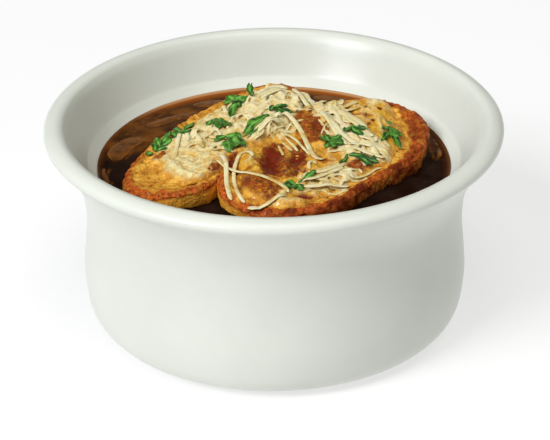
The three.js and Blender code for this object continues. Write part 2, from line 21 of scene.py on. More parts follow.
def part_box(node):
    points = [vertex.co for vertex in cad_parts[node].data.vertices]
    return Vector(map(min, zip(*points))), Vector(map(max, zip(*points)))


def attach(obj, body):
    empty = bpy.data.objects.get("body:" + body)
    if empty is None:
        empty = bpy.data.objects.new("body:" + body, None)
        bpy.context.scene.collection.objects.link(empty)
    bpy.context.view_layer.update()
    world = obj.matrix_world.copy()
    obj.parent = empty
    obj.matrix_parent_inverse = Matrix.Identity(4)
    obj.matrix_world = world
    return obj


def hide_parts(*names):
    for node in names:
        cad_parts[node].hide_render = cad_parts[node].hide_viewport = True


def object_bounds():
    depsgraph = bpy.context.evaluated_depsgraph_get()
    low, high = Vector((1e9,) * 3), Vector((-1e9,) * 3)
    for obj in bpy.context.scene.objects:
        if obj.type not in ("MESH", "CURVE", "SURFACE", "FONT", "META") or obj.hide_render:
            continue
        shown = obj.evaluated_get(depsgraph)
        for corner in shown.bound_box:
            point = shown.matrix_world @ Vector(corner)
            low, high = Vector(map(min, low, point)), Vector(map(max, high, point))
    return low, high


bl_info = {
    "name": "French onion soup",
    "version": (1, 0, 0),
    "blender": (4, 5, 0),
    "location": "View3D > Sidebar > Onion soup",
    "description": "Models a crock of french onion soup, with one operator for each piece",
    "category": "Add Mesh",
}

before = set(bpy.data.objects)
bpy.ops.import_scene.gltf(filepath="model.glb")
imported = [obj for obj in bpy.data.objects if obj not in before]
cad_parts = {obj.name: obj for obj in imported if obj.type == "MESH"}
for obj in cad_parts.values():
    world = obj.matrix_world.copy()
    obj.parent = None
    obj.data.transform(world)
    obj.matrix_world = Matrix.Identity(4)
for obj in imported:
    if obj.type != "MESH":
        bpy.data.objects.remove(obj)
CAD_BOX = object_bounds()
MM = 0.001


# ---- Sizes ----

RIM_RADIUS = CAD_BOX[1].x / MM
CROCK_HEIGHT = CAD_BOX[1].z / MM
BROTH_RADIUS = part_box("soup")[1].x / MM
BROTH_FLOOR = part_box("soup")[0].z / MM
MENISCUS = 0.5
BROTH_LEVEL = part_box("soup")[1].z / MM - MENISCUS
FILM_RISE = 0.8

# The crock's outline as [radius, height] in millimetres: under the foot, up the outside, over
# the rolled lip and down the inside to the floor.
FOOT_OUTLINE = [(0, 2), (42, 2), (42.8, 1.8), (43.4, 0.6), (44, 0.1), (44.8, 0), (49.6, 0)]
WALL_OUTLINE = [
    (50.5, 0.2), (53.4, 1.1), (56.8, 3.0), (58.6, 6.0), (59.4, 10), (59.8, 15.5), (59.6, 20),
    (59.1, 25), (58.5, 31), (58.4, 36), (58.7, 41), (59.4, 45.5), (61.0, 50), (63.2, 54.4),
    (65.8, 58.2), (67.3, 60.1), (68.2, 60.8),
]
LIP_CREST = (RIM_RADIUS - 4, CROCK_HEIGHT - 2.5)
LIP_OUT = 4
LIP_RISE = 2.5
INSIDE_OUTLINE = [
    (64.4, 65.5), (62.9, 63.6), (61.7, 61.4), (60.6, 59.2), (59.4, 56.9), (58.2, 54.7),
    (57.3, 53.2), (56.6, 52.4), (55.6, 51.3), (54.6, 50.3), (53.9, 49.3), (53.6, 48), (53.6, 40),
    (53.6, 18), (51.5, 12.1), (45.6, 7.8), (37.6, 6.2), (0, 6.2),
]


DROOP_START = 0.45  # share of a slice's half length from which its front end droops
SIDE_FALL = 1.9  # slope of what hangs over a side
CRUST_LIP = 0.9  # how far the toasted rim stands over the crumb
CRUST_LIP_AT = 0.93  # share of the outline where that rim is highest
CRUST_LIP_WIDTH = 0.07

CHEESE_THICKNESS = 1.5
CHEESE_TUCK = 0.4  # how far its edge draws in below what it lies on
CHEESE_BRIDGE = 2  # the highest step between the slices that it smooths over
CHEESE_DIP = 1.6  # how far it may hang below the broth's level
SHEET_WALL = 1.1
MOUND_HEIGHT = 0.8
MOUND_WALL = 0.8
SHRED_THICKNESS = 0.42
SHRED_VOXEL = 0.27
HIDDEN_DEPTH = 0.3  # how far under the sheet's top the fused shreds are made of fewer faces
HEAP_FACES = 0.84  # and the share of all their faces that is left then
STRAND_LIFT = 0.15
ONION_THICKNESS = 1
LEAF_THICKNESS = 0.22

# What starts the random draws of each scattered piece.
MELTED_SEED = 41
SHRED_SEED = 12
PARSLEY_SEED = 5


def along_and_across(x, y, heading):
    """Plan distances along a heading in degrees, and across it."""
    turn = math.radians(heading)
    return x * math.cos(turn) + y * math.sin(turn), y * math.cos(turn) - x * math.sin(turn)


def polar(points):
    """Distance of places from the axis, and their angle round it."""
    return np.hypot(points[:, 0], points[:, 1]), np.arctan2(points[:, 1], points[:, 0])


def near(values, middle, width):
    """1 at the middle, and falling off smoothly over a width."""
    return np.exp(-(((values - middle) / width) ** 2))


def crust_ridge(share):
    """Height of the toasted rim over the crumb at a share of a slice's outline."""
    return CRUST_LIP * near(share, CRUST_LIP_AT, CRUST_LIP_WIDTH)


@dataclass(frozen=True)
class Slice:
    """A slice of toast: its outline in plan and the plane of its top face, in millimetres."""

    centre: tuple
    heading: float
    half_length: float
    half_width: float
    squareness: float
    rise: float = 0.0
    lean_along: float = 0.0
    lean_across: float = 0.0
    droop: float = 0.0

    def inside(self, x, y):
        """Plan places as distances along and across the slice."""
        return along_and_across(x - self.centre[0], y - self.centre[1], self.heading)

    def outside(self, along, across):
        """Distances along and across the slice as plan places."""
        x, y = along_and_across(along, across, -self.heading)
        return self.centre[0] + x, self.centre[1] + y

    def spread(self, disc, ragged=1):
        """Plan places of a disc of radius 1 that is drawn out to the outline."""
        radius, angle = polar(disc)
        reach = radius * self.reach(angle) * ragged
        return self.outside(reach * np.cos(angle), reach * np.sin(angle))

    def share(self, x, y):
        """0 in the middle and 1 on the outline."""
        along, across = self.inside(x, y)
        n = self.squareness
        total = np.abs(along / self.half_length) ** n + np.abs(across / self.half_width) ** n
        return total ** (1 / n)

    def reach(self, angle):
        """How far the outline lies from the middle towards an angle in the slice."""
        n = self.squareness
        a = np.abs(np.cos(angle) / self.half_length) ** n
        b = np.abs(np.sin(angle) / self.half_width) ** n
        return (a + b) ** (-1 / n)

    def face(self, x, y):
        """Height of the top face, carried on past the outline."""
        along, across = self.inside(x, y)
        start = -along / self.half_length - DROOP_START
        drooped = np.clip(start / (1 - DROOP_START), 0, 1.2)
        lean = self.lean_along * along + self.lean_across * across
        return BROTH_LEVEL + self.rise + lean - self.droop * drooped**2

    def carried(self, x, y):
        """Height of what lies on the slice, which falls steeply past its outline."""
        share = self.share(x, y)
        fall = SIDE_FALL * np.maximum(0, share - 1) * self.half_width
        return self.face(x, y) + crust_ridge(share) - fall


SLICES = {
    "toast_left": Slice((-17.6, 3.7), 56, 41, 15.8, 2.35, 6.4, 0.035, -0.03),
    "toast_right": Slice((16.2, -6.9), 50, 40.5, 20.4, 2.45, 6.5, 0.012, 0.085, 1.6),
}

# The melted cheese: its outline in plan round its middle.
CHEESE_CENTRE = (0, -3)
CHEESE_OUTLINE = [
    (40.4, 3.1), (39.3, 12), (37.5, 22), (32, 26.4), (25.5, 25), (17.5, 24), (9, 30), (1.5, 35.2),
    (-6.5, 32.8), (-15.4, 26), (-25, 16.3), (-33, 5.6), (-38.3, -6.8), (-35.6, -14.5), (-31, -22.8),
    (-23.5, -25.5), (-15.5, -20.2), (-10.6, -22.5), (-9, -32), (-3, -38.5), (5.1, -40.2),
    (11, -36.4), (17.3, -29.8), (27.3, -19.8), (35.3, -10.3),
]


@dataclass(frozen=True)
class Spot:
    """A patch on the topping: plan place, half length, half width, heading and strength."""

    x: float
    y: float
    length: float
    width: float
    heading: float = 0.0
    strength: float = 1.0

    def shares(self, x, y):
        """Plan places as shares of its half length along it and of its half width across it."""
        along, across = along_and_across(x - self.x, y - self.y, self.heading)
        return along / self.length, across / self.width


def spots(*rows):
    """Spots, each from a row of its values."""
    return [Spot(*row) for row in rows]


# Where the cheese blistered up, as a height in millimetres.
BLISTERS = spots(
    (32, 19, 6, 5, 30, 1.2), (33, 24, 3.4, 2.6, 150, 1.4), (11.3, 5.5, 7.6, 4.4, 100, 2),
    (-5.5, -30.6, 9, 6.5, 75, 1.8), (-10.6, 5.6, 4.4, 2.4, 75, 1.4), (-7, -14, 3, 2.2, 80, 1.2),
    (-8.2, -18.6, 2.4, 1.8, 100, 1), (-5, -21, 2, 1.6, 0, 0.8), (0.6, -10.6, 2.6, 1.8, 60, 0.9),
    (3.8, -17, 3, 1.4, 80, 1), (4, -21.6, 2, 1.3, 20, 0.8), (5, -38, 6.5, 3, 10, 0.9),
    (12.6, -35, 3, 2, 50, 0.7), (-39, -14, 3.4, 2.4, 60, 0.5), (-37, -21, 3, 2, 20, 0.4),
    (-3, 2, 6, 4, 50, 0.7), (-18, -16, 3.4, 2, 50, 0.7), (35.5, -6, 3.4, 2, 60, 0.8),
)
# Where it sank in or tore open.
HOLLOWS = spots(
    (-0.6, -17, 8, 2.4, 88, 1.2), (6.6, -13, 6.5, 2.2, 74, 1.2), (7.4, -21, 2, 1.4, 60, 2),
    (8.6, -34.2, 2.6, 1.7, 10, 2), (3.8, -34, 1.2, 0.8, 60, 0.8), (-12.6, -21, 5, 1.7, 80, 1.8),
    (-17.2, -19, 2.2, 1.2, 60, 1.2), (28, -16, 4.5, 2.2, 25, 0.7), (39.4, -7, 2.8, 1.6, 60, 1.2),
    (-35, -8, 2, 1.2, 20, 0.6), (25, 16, 3.6, 0.9, -14, 1),
)
# Thick ridges of cheese that melted in place: plan route and width.
RIDGES = [
    ([(8, -24.6), (12, -21.6), (16.6, -18), (21, -15)], 2.2),
    ([(9, -30.4), (14, -29.4), (19, -28.2), (23, -25.6)], 2.2),
    ([(21.6, -17.4), (22.8, -21), (21.4, -25)], 1.8),
    ([(30, 0), (32.6, -3), (34.4, -7), (33, -11)], 2.6),
    ([(26, -13), (30, -14), (33, -15)], 1.6),
    ([(-6, -3), (-1, 2), (3, 6), (5, 10)], 3.4),
    ([(-33, -10), (-30, -16), (-26.4, -21), (-22, -23.4)], 2.6),
    ([(-20, -6), (-16.4, -11), (-14.6, -16)], 2),
    ([(3, -32), (1.6, -36), (2.4, -39.4)], 2.2),
    ([(12, -32.6), (13.6, -35), (12, -37)], 2.2),
]
# Where it browned to a red-brown glaze, where it caught, and where it turned golden or stayed pale.
BROWNED = spots(
    (11.3, 5.6, 7.8, 4.6, 100, 1.3), (-5.4, -31, 9.6, 6.8, 75, 1), (0, -16.8, 9.6, 3.8, 88, 1.6),
    (6.6, -13.4, 8.6, 3.2, 72, 1.5), (28, -15.6, 5.2, 3.2, 30, 1),
    (-17.2, -18.8, 2.6, 1.6, 60, 1.1), (-35, -8, 2.6, 1.5, 20, 1.2), (25, 16, 4.4, 1.1, -14, 1.1),
    (14.4, -12.6, 4, 1.8, -60, 0.7), (31.6, -5, 2, 1, 60, 0.6), (40.8, -4.6, 5.4, 2.4, 62, 1.4),
    (20, -30.4, 8, 1.6, 42, 1), (-12.8, -14.4, 1.6, 4, 0, 1), (-11.8, -24, 2, 5, 5, 1),
    (33, -15, 5, 1.6, 50, 0.9), (-10, -36, 4, 3, 20, 0.8),
)
BURNT = spots(
    (-0.8, -15.6, 8, 2.6, 88, 1.3), (7, -12.4, 6, 2, 74, 1.2), (-8.6, -28, 3.4, 2.2, 60, 0.8),
    (13.6, 4, 4, 1.6, 100, 0.6), (7.4, -21, 2.2, 1.5, 60, 1.5), (8.6, -34.2, 2.9, 1.9, 10, 1.5),
    (-12.6, -21, 5, 1.7, 80, 1.2), (39.6, -7, 3.2, 1.8, 60, 1.4), (-17.8, -19.6, 1.3, 0.9, 60, 1.2),
    (31, 12, 0.6, 0.5, 0, 1.4), (29.6, 9.6, 0.5, 0.5, 0, 1.4), (33.2, 18.4, 0.6, 0.5, 0, 1.4),
    (29, 19, 0.5, 0.5, 0, 1.2), (36.6, 14.6, 0.5, 0.5, 0, 1.2), (21, -30, 4, 0.9, 40, 0.8),
)
GOLDEN = spots(
    (33.6, 13, 17, 11, 85, 1.5), (-28, -15, 10, 9, 60, 1.2), (5, -37, 9, 5, 10, 1.5),
    (17.6, -24, 14, 8, 34, 1.5), (-10.4, 5, 6, 3.2, 80, 1.5), (-7, -16.4, 6.4, 3.4, 90, 1.5),
    (4, -17.6, 4.6, 2, 80, 1.5), (35, -8, 7, 5, 60, 1.2), (-4.6, -31, 5, 3, 70, 1.5),
    (-2, -9, 5, 1.6, 20, 1.2),
)
PALE = spots(
    (-24, -2, 13, 9, 52, 1.5), (-13, 15, 15, 8.5, 52, 1.5), (-2, 24, 12, 10, 30, 1.5),
    (-2, 5, 9, 7, 60, 1.3), (-27, -16, 9, 6.4, 60, 1), (21, 7, 17, 6.5, -66, 1.5),
    (26, -5, 7, 6, 50, 1), (3.6, -38, 6, 2.4, 10, 0.7), (33.6, -9, 5, 2.6, 60, 0.8),
    (33, 23.6, 4, 3, 150, 0.9),
)


@dataclass(frozen=True)
class Drift:
    """A low mound of shreds: its outline, how many lie on it and the way that most of them point."""

    outline: Slice
    shreds: int
    heading: float
    spread: float


DRIFTS = [
    Drift(Slice((-2, 23), 75, 13, 9.5, 2), 86, 80, 44),
    Drift(Slice((8, 21), -20, 9, 6, 2), 48, 110, 40),
    Drift(Slice((-13, 13), 52, 15, 9, 2), 42, 50, 50),
    Drift(Slice((-25, 1), 50, 9, 6, 2), 7, 50, 60),
    Drift(Slice((-2, 5), 35, 9, 6.5, 2), 54, 30, 34),
    Drift(Slice((-14, -5), 25, 7, 4, 2), 8, 10, 60),
    Drift(Slice((20, 9), -58, 12, 6, 2), 58, -58, 30),
    Drift(Slice((26, -4), -52, 9, 6.4, 2), 56, -48, 38),
    Drift(Slice((16.4, -24.4), 30, 11, 4.4, 2), 30, 28, 22),
]

# Long shreds that can be told apart: plan route and width.
STRANDS = [
    ([(-16.4, -12), (-14.6, -17), (-14.2, -22), (-14, -27), (-13.2, -32.4), (-12.4, -35.2)], 1.5),
    (
        [(-6.3, -16), (-7, -13.6), (-8.6, -12.8), (-10.4, -14.8), (-11.8, -20), (-11.8, -26)]
        + [(-10.4, -33), (-7.4, -39.2)],
        1.2,
    ),
    (
        [(-17.6, -14), (-15, -19), (-11.6, -21.4), (-8, -23.8), (-4, -26.2), (0, -28.2)]
        + [(3, -31.4), (5, -35)],
        1.25,
    ),
    ([(3.4, -35.4), (0.2, -37.6), (-2.8, -39.4), (-5.4, -40)], 1.5),
    ([(-7.8, -38.6), (-5.6, -39.6), (-3.4, -40.2)], 2.4),
    ([(1.6, 8.8), (5, 7), (7.8, 2.6), (9.8, -4), (11.6, -10.6), (13.2, -12.8), (15.2, -12.2)], 1.7),
    ([(3.2, -0.6), (6.3, -2.2), (8.8, -7), (10.9, -11.1)], 1),
    ([(2.3, -4), (4, -7), (5.8, -9)], 0.9),
    ([(3.6, -2.4), (5.8, -5.6), (7.6, -8.8)], 0.9),
    ([(1.4, -6), (2, -8.6), (3, -12.6)], 0.9),
    ([(10.2, -22.6), (13.8, -22.4), (17.4, -20), (21, -16.6)], 1.5),
    ([(10.6, -19.6), (10.4, -16.6), (11.6, -15), (12.6, -16.4)], 1.1),
    ([(9.4, -28), (12, -27.4), (15.8, -24), (20.6, -19)], 1.4),
    ([(8.8, -31), (12.4, -30.4), (16.6, -28.8), (20.8, -27.4), (23, -25.6)], 1.6),
    ([(22.4, -23), (24.2, -22.6), (26.6, -20.6), (28.8, -18.2), (30.6, -15.8), (32.8, -15)], 1),
    ([(25.4, -17.6), (26.8, -20.6)], 0.9),
    ([(15, 18), (16.4, 23), (18.8, 25.2), (21, 22.6), (21.6, 18)], 2.2),
    ([(21.8, 18), (24.2, 20.4), (27, 22.6)], 1.7),
    ([(22, 15.8), (25, 17.6), (27.4, 19.4)], 1.2),
    ([(14.4, 14), (16.2, 8.6), (18.2, 3), (20.6, -3.2), (23, -8.4)], 1.8),
    ([(16, 12), (17.6, 7), (20.8, -0.4), (24, -5.2), (27.4, -8.2)], 1.6),
    ([(20, 13), (22, 11), (24.8, 9.4), (27.6, 7.4), (29.4, 4.8)], 2.2),
    ([(22, 10), (24, 7.4), (27, 4.2), (30.4, -0.4)], 1.6),
    ([(23.8, -8), (27, -9.4), (30, -11), (32.8, -12), (33.8, -10)], 1.3),
    ([(25.8, -1.6), (28.8, -3.2), (31.4, -5.6)], 1.4),
    ([(23, -5.8), (26.6, -6.6), (30.4, -8.6)], 1.3),
    ([(8.6, 32), (10, 28), (11.4, 22), (12.8, 16)], 1.7),
    ([(6.2, 33.4), (7.6, 28), (9.4, 21), (11.4, 14.6)], 1.5),
    ([(-5.4, 27), (-2, 31), (1.6, 33.4), (4.4, 32)], 1.6),
    ([(-4, 23.6), (-0.4, 27), (3.6, 30)], 1.5),
    ([(-7.4, 5), (-3.8, 7.6), (0, 8.2)], 1.7),
    ([(-6.4, 1.8), (-2.8, 4.6), (1, 4.6)], 1.7),
    ([(-4.6, -2.6), (-1.2, 1.8), (3, 2.6)], 1.6),
    ([(-29.8, -10), (-29.6, -4), (-28.8, 2), (-27.4, 3.4), (-26.4, 0.6), (-26.4, -2.4)], 1.3),
]

# How the leaflets of a bit of parsley stand: how far along its stem, the angle off it in
# degrees, and length and width as shares of the whole bit.
LEAF_FORMS = {
    "fan": [(0.15, 0, 0.85, 0.42), (0.1, 52, 0.66, 0.36), (0.1, -50, 0.66, 0.36)],
    "star": [(0.3, 2, 0.7, 0.15), (0.46, 22, 0.42, 0.12), (0.42, -22, 0.44, 0.12)]
    + [(0.22, 26, 0.4, 0.12), (0.24, -28, 0.4, 0.12), (0, 3, 0.42, 0.09)],
    "feather": [(0.5, 5, 0.52, 0.26), (0.36, 48, 0.4, 0.24), (0.3, -46, 0.4, 0.24)]
    + [(0.12, 40, 0.38, 0.24), (0.05, -50, 0.38, 0.24), (0, 150, 0.26, 0.2)],
    "blade": [(0.05, 0, 0.95, 0.4), (0.02, -60, 0.3, 0.2)],
    "hook": [(0.05, 6, 0.95, 0.3), (0.02, -84, 0.66, 0.2), (0.3, -12, 0.6, 0.26)],
    "fold": [(0.1, 8, 0.9, 0.34), (0.2, -22, 0.6, 0.34), (0.0, 40, 0.44, 0.28)]
    + [(0.0, -60, 0.36, 0.26)],
    "legs": [(0.2, -7, 0.8, 0.15), (0.2, 14, 0.42, 0.14), (0.2, 75, 0.2, 0.2)]
    + [(0.2, -80, 0.2, 0.2), (0.22, 165, 0.24, 0.24), (0.22, -150, 0.24, 0.24)]
    + [(0.2, 34, 0.26, 0.2)],
    "pair": [(0.5, 6, 0.5, 0.24), (0.3, 0, 0.3, 0.1), (0.2, 110, 0.3, 0.26)]
    + [(0.2, -100, 0.34, 0.28), (0.2, 170, 0.36, 0.3), (0.2, -150, 0.32, 0.26)],
    "curl": [(0.3, 20, 0.5, 0.36), (0.3, -35, 0.5, 0.36), (0.3, 80, 0.48, 0.34)]
    + [(0.3, -95, 0.48, 0.34), (0.4, 140, 0.46, 0.34), (0.4, -150, 0.42, 0.32)]
    + [(0.34, -5, 0.3, 0.28)],
}

# Torn parsley: middle in plan, heading, length, form, how far its tip stands up in degrees, and
# how much of it lies in its own shade.
PARSLEY = [
    (-35.2, -0.4, 62, 11, "feather", 2, 0.2),
    (-29, 7, 62, 13, "feather", 2, 0.4),
    (-17, 8.8, -48, 10, "fold", 2, 0.35),
    (-12, 21, -94, 20, "legs", 2, 0.1),
    (-7.4, 28.4, 95, 6.4, "blade", 36, 0.3),
    (-13.4, -4.6, -72, 13, "fold", 2, 0.25),
    (-5.2, 5.4, 66, 14.6, "blade", 3, 0.05),
    (3, 15, -54, 9.5, "fold", 3, 0.7),
    (17.6, -4.4, 20, 9, "curl", 8, 0.3),
    (24.8, 1, -58, 7.4, "fan", 2, 0.6),
    (36.3, 4.6, -84, 17.5, "star", 3, 0.1),
    (25.6, -13.4, -24, 10, "hook", 2, 0.8),
    (7.6, -27.4, 46, 11, "pair", 3, 0.3),
]

# Onion strips at the surface: plan route and width, one for each onion node.
ONIONS = [
    ([(-48.4, 1), (-48.6, 8), (-45.4, 14.6), (-40.6, 19.4)], 7),
    ([(-41.4, 25.6), (-36, 29.6), (-30.5, 33), (-25, 35.6)], 4),
    ([(-27, 41.5), (-20.5, 43.2), (-13, 44.4), (-5.6, 47.4)], 4.6),
    ([(46.6, 22.6), (49.6, 16.6), (51.4, 9.6), (51.4, 3)], 1.4),
    ([(30.6, -31.4), (36.5, -28.4), (42, -23.6), (46.4, -17.6)], 2.4),
    ([(-50.4, -14), (-51.8, -8), (-52, -2)], 1.4),
    ([(12, 47.2), (18.5, 46.4), (26, 43.2), (33, 37.6)], 3),
]


def linear(hex_colour):
    """A colour written as in a paint chart, as Blender's linear red, green and blue."""
    parts = [int(hex_colour[i : i + 2], 16) / 255 for i in (1, 3, 5)]
    return tuple(p / 12.92 if p < 0.04045 else ((p + 0.055) / 1.055) ** 2.4 for p in parts)


# ---- Settings that a user would change ----


def colour_property(name, description, hex_colour):
    return FloatVectorProperty(
        name=name, description=description, subtype="COLOR", size=3, min=0, max=1,
        default=linear(hex_colour),
    )


def length_property(name, description, millimetres):
    return FloatProperty(
        name=name, description=description, unit="LENGTH", default=millimetres * MM, min=0
    )


class CrockSettings(bpy.types.PropertyGroup):
    """Size and glaze of the crock."""

    sides: IntProperty(name="Sides", description="Faces round the crock", default=144, min=24)
    glaze: colour_property("Glaze", "Colour of the glaze", "#dbddd4")
    clay: colour_property("Clay", "Colour of the bare clay under the foot", "#d8cdb8")
    gloss: FloatProperty(
        name="Roughness", description="Roughness of the glaze", default=0.28, min=0, max=1
    )


class BrothSettings(bpy.types.PropertyGroup):
    """Looks of the broth and of the onions in it."""

    deep: colour_property("Deep broth", "Colour where it is deep", "#190c06")
    shallow: colour_property("Thin broth", "Colour of the thin film at the wall", "#8f4a12")
    onion: colour_property("Onion", "Colour of the soft onion", "#734418")


class ToastSettings(bpy.types.PropertyGroup):
    """Looks of the toasted bread."""

    crumb: colour_property("Crumb", "Colour of the toasted crumb", "#c98b30")
    crust: colour_property("Crust", "Colour of the browned crust", "#bd5a20")
    char: colour_property("Char", "Colour of the darkest crust", "#6e2a10")
    depth: length_property("Depth in the broth", "How far a slice reaches below the level", 9)


class CheeseSettings(bpy.types.PropertyGroup):
    """Looks of the melted and the shredded cheese."""

    golden: colour_property("Golden", "Colour of the melted cheese", "#d8a83e")
    pale: colour_property("Pale", "Colour where it stayed pale", "#e3d49e")
    browned: colour_property("Browned", "Colour where it browned", "#9a4c18")
    burnt: colour_property("Burnt", "Colour where it caught", "#6e220c")
    shred: colour_property("Shreds", "Colour of the shredded cheese", "#e7dcb6")


class ParsleySettings(bpy.types.PropertyGroup):
    """Looks of the torn parsley."""

    leaf: colour_property("Leaf", "Colour of the leaf", "#6aa83c")
    # Painted shade colour, for the folds and for bits in their own shade.
    shade: colour_property("Shade", "Colour in its folds", "#173a10")


class StageSettings(bpy.types.PropertyGroup):
    """The plain floor, the light and the camera."""

    floor: colour_property("Floor", "Colour of the floor", "#fafafa")
    distance: length_property("Camera distance", "From the camera to the middle of the dish", 630)
    elevation: FloatProperty(
        name="Camera elevation",
        description="Angle of the camera above the table",
        subtype="ANGLE",
        default=math.radians(28.64),
    )
    lens: FloatProperty(
        name="Lens", description="Focal length", subtype="DISTANCE_CAMERA", default=131.58
    )


class SoupSettings(bpy.types.PropertyGroup):
    """Everything about the dish, piece by piece."""

    crock: PointerProperty(type=CrockSettings)
    broth: PointerProperty(type=BrothSettings)
    toast: PointerProperty(type=ToastSettings)
    cheese: PointerProperty(type=CheeseSettings)
    parsley: PointerProperty(type=ParsleySettings)
    stage: PointerProperty(type=StageSettings)


def settings():
    return bpy.context.scene.onion_soup


# ---- Modelling helpers ----


def start_piece(name, primitive, **where):
    """Adds a primitive with everything else deselected, and names it."""
    bpy.ops.object.select_all(action="DESELECT")
    primitive(**where)
    piece = bpy.context.object
    piece.name = name
    piece.data.name = name
    return piece


@contextmanager
def editing(piece, mode="VERT"):
    """Edit mode on one piece, with nothing selected at first."""
    bpy.ops.object.select_all(action="DESELECT")
    piece.select_set(True)
    bpy.context.view_layer.objects.active = piece
    bpy.ops.object.mode_set(mode="EDIT")
    bpy.ops.mesh.select_mode(type=mode)
    bpy.ops.mesh.select_all(action="DESELECT")
    yield
    bpy.ops.object.mode_set(mode="OBJECT")


def select_rim():
    """Selects the open edges of the mesh in edit mode."""
    bpy.ops.mesh.select_mode(type="EDGE")
    bpy.ops.mesh.select_all(action="DESELECT")
    bpy.ops.mesh.select_non_manifold(
        extend=False, use_wire=False, use_boundary=True, use_multi_face=False,
        use_non_contiguous=False, use_verts=False,
    )


def apply_modifier(piece, kind, **values):
    """Adds a modifier, sets it and applies it."""
    modifier = piece.modifiers.new(kind.title(), kind)
    for name, value in values.items():
        setattr(modifier, name, value)
    bpy.context.view_layer.objects.active = piece
    bpy.ops.object.modifier_apply(modifier=modifier.name)


def places(piece):
    """The vertices as an (n, 3) array in millimetres."""
    co = np.empty(len(piece.data.vertices) * 3)
    piece.data.vertices.foreach_get("co", co)
    return co.reshape(-1, 3) / MM


def normals(piece):
    """The direction that the surface faces at each vertex."""
    out = np.empty(len(piece.data.vertices) * 3)
    piece.data.vertex_normals.foreach_get("vector", out)
    return out.reshape(-1, 3)


def put(piece, points):
    """Moves the vertices to places in millimetres."""
    piece.data.vertices.foreach_set("co", (points * MM).astype(np.float32).ravel())
    piece.data.update()


def paint(piece, name, values):
    """Stores a value from 0 to 1 at each vertex, for the materials."""
    attribute = piece.data.attributes.new(name, "FLOAT", "POINT")
    attribute.data.foreach_set("value", np.clip(values, 0, 1).astype(np.float32))


def hollowness(piece, rounds):
    """How deep each vertex lies under its smoothed surroundings, in millimetres."""
    co = places(piece)
    edges = np.empty(2 * len(piece.data.edges), np.int32)
    piece.data.edges.foreach_get("vertices", edges)
    first, second = edges.reshape(-1, 2).T
    count = np.bincount(edges, minlength=len(co))
    smooth = co.copy()
    for _ in range(rounds):
        for axis in range(3):
            values = smooth[:, axis]
            total = np.bincount(first, values[second], len(co))
            total += np.bincount(second, values[first], len(co))
            smooth[:, axis] = total / count
    return np.sum((smooth - co) * normals(piece), axis=1)


def top_finder(*names):
    """A function that gives the height of the highest of some finished pieces at plan places."""
    depsgraph = bpy.context.evaluated_depsgraph_get()
    trees = [BVHTree.FromObject(bpy.data.objects[name], depsgraph) for name in names]

    def tops(x, y):
        found = np.full(len(x), BROTH_LEVEL)
        for i, (px, py) in enumerate(zip(x, y)):
            start = Vector((px * MM, py * MM, 1))
            hits = (tree.ray_cast(start, Vector((0, 0, -1)))[0] for tree in trees)
            found[i] = max([found[i], *(hit.z / MM for hit in hits if hit is not None)])
        return found

    return tops


def point_outwards(piece):
    """Merges doubles and turns the faces outwards."""
    with editing(piece):
        bpy.ops.mesh.select_all(action="SELECT")
        bpy.ops.mesh.remove_doubles(threshold=1e-6)
        bpy.ops.mesh.normals_make_consistent(inside=False)


def finish_piece(piece, material, slot, *nodes):
    """Gives a piece its material, and its place in the frame."""
    piece.data.materials.clear()
    piece.data.materials.append(material)
    piece.data.polygons.foreach_set("use_smooth", [True] * len(piece.data.polygons))
    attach(piece, "root")
    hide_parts(*nodes)
    return piece


def extrude(*shift):
    """Extrudes what is selected by a shift in millimetres."""
    value = [distance * MM for distance in shift]
    bpy.ops.mesh.extrude_region_move(TRANSFORM_OT_translate={"value": value})


def widen(grow, centre=(0, 0, 0)):
    """Makes what is selected wider or narrower in plan."""
    bpy.ops.transform.resize(value=(grow, grow, 1), center_override=centre)


def turned_piece(name, outline, sides):
    """Turns an outline of (radius, height) into a closed solid, ring after ring from its start."""
    first = outline[1]
    piece = start_piece(
        name, bpy.ops.mesh.primitive_circle_add, vertices=sides, radius=first[0] * MM,
        location=(0, 0, first[1] * MM),
    )
    bpy.ops.object.transform_apply(location=True, rotation=False, scale=False)
    with editing(piece, "EDGE"):
        bpy.ops.mesh.select_all(action="SELECT")
        bpy.ops.mesh.extrude_edges_move()
        widen(1 / first[0])
        bpy.ops.mesh.edge_face_add()
        select_rim()
        for (radius, height), (wider, higher) in itertools.pairwise(outline[1:-1]):
            extrude(0, 0, higher - height)
            widen(wider / radius)
        bpy.ops.mesh.edge_face_add()
    point_outwards(piece)
    return piece


# ---- Uneven fields ----

LATTICE = np.array([127.1, 311.7, 74.7])


def lattice_noise(points, size, seed):
    """Smooth noise from -1 to 1 at places in millimetres, its bumps about `size` apart."""
    place = points / size + seed * 37.7
    cell = np.floor(place)
    inside = place - cell
    inside = inside * inside * (3 - 2 * inside)
    total = np.zeros(len(points))
    for corner in itertools.product((0, 1), repeat=3):
        share = np.prod(np.where(corner, inside, 1 - inside), axis=1)
        value = np.sin((cell + corner) @ LATTICE) * 43758.5453
        total += share * (value - np.floor(value))
    return 2 * total - 1


def rough(points, size, seed=0, octaves=3):
    """Noise with finer and weaker noise on top of it."""
    total = np.zeros(len(points))
    for octave in range(octaves):
        total += lattice_noise(points, size / 2**octave, seed + octave) / 2**octave
    return total


def flat(x, y):
    """Plan places as points at height 0."""
    return np.column_stack([x, y, np.zeros_like(x)])


def spotted(x, y, spots, ragged=0.35, sharp=2.0, seed=3):
    """How strongly spots cover plan places, with ragged edges."""
    wander = ragged * rough(flat(x, y), 2.6, seed)
    total = np.zeros_like(x)
    for spot in spots:
        away = np.maximum(np.hypot(*spot.shares(x, y)) + wander, 0)
        total = np.maximum(total, spot.strength * np.exp(-(away ** (2 * sharp)) * 0.7))
    return total


def raised(x, y, spots):
    """Smooth heights of spots, added up."""
    total = np.zeros_like(x)
    for spot in spots:
        along, across = spot.shares(x, y)
        total += spot.strength * np.exp(-(along**2 + across**2))
    return total


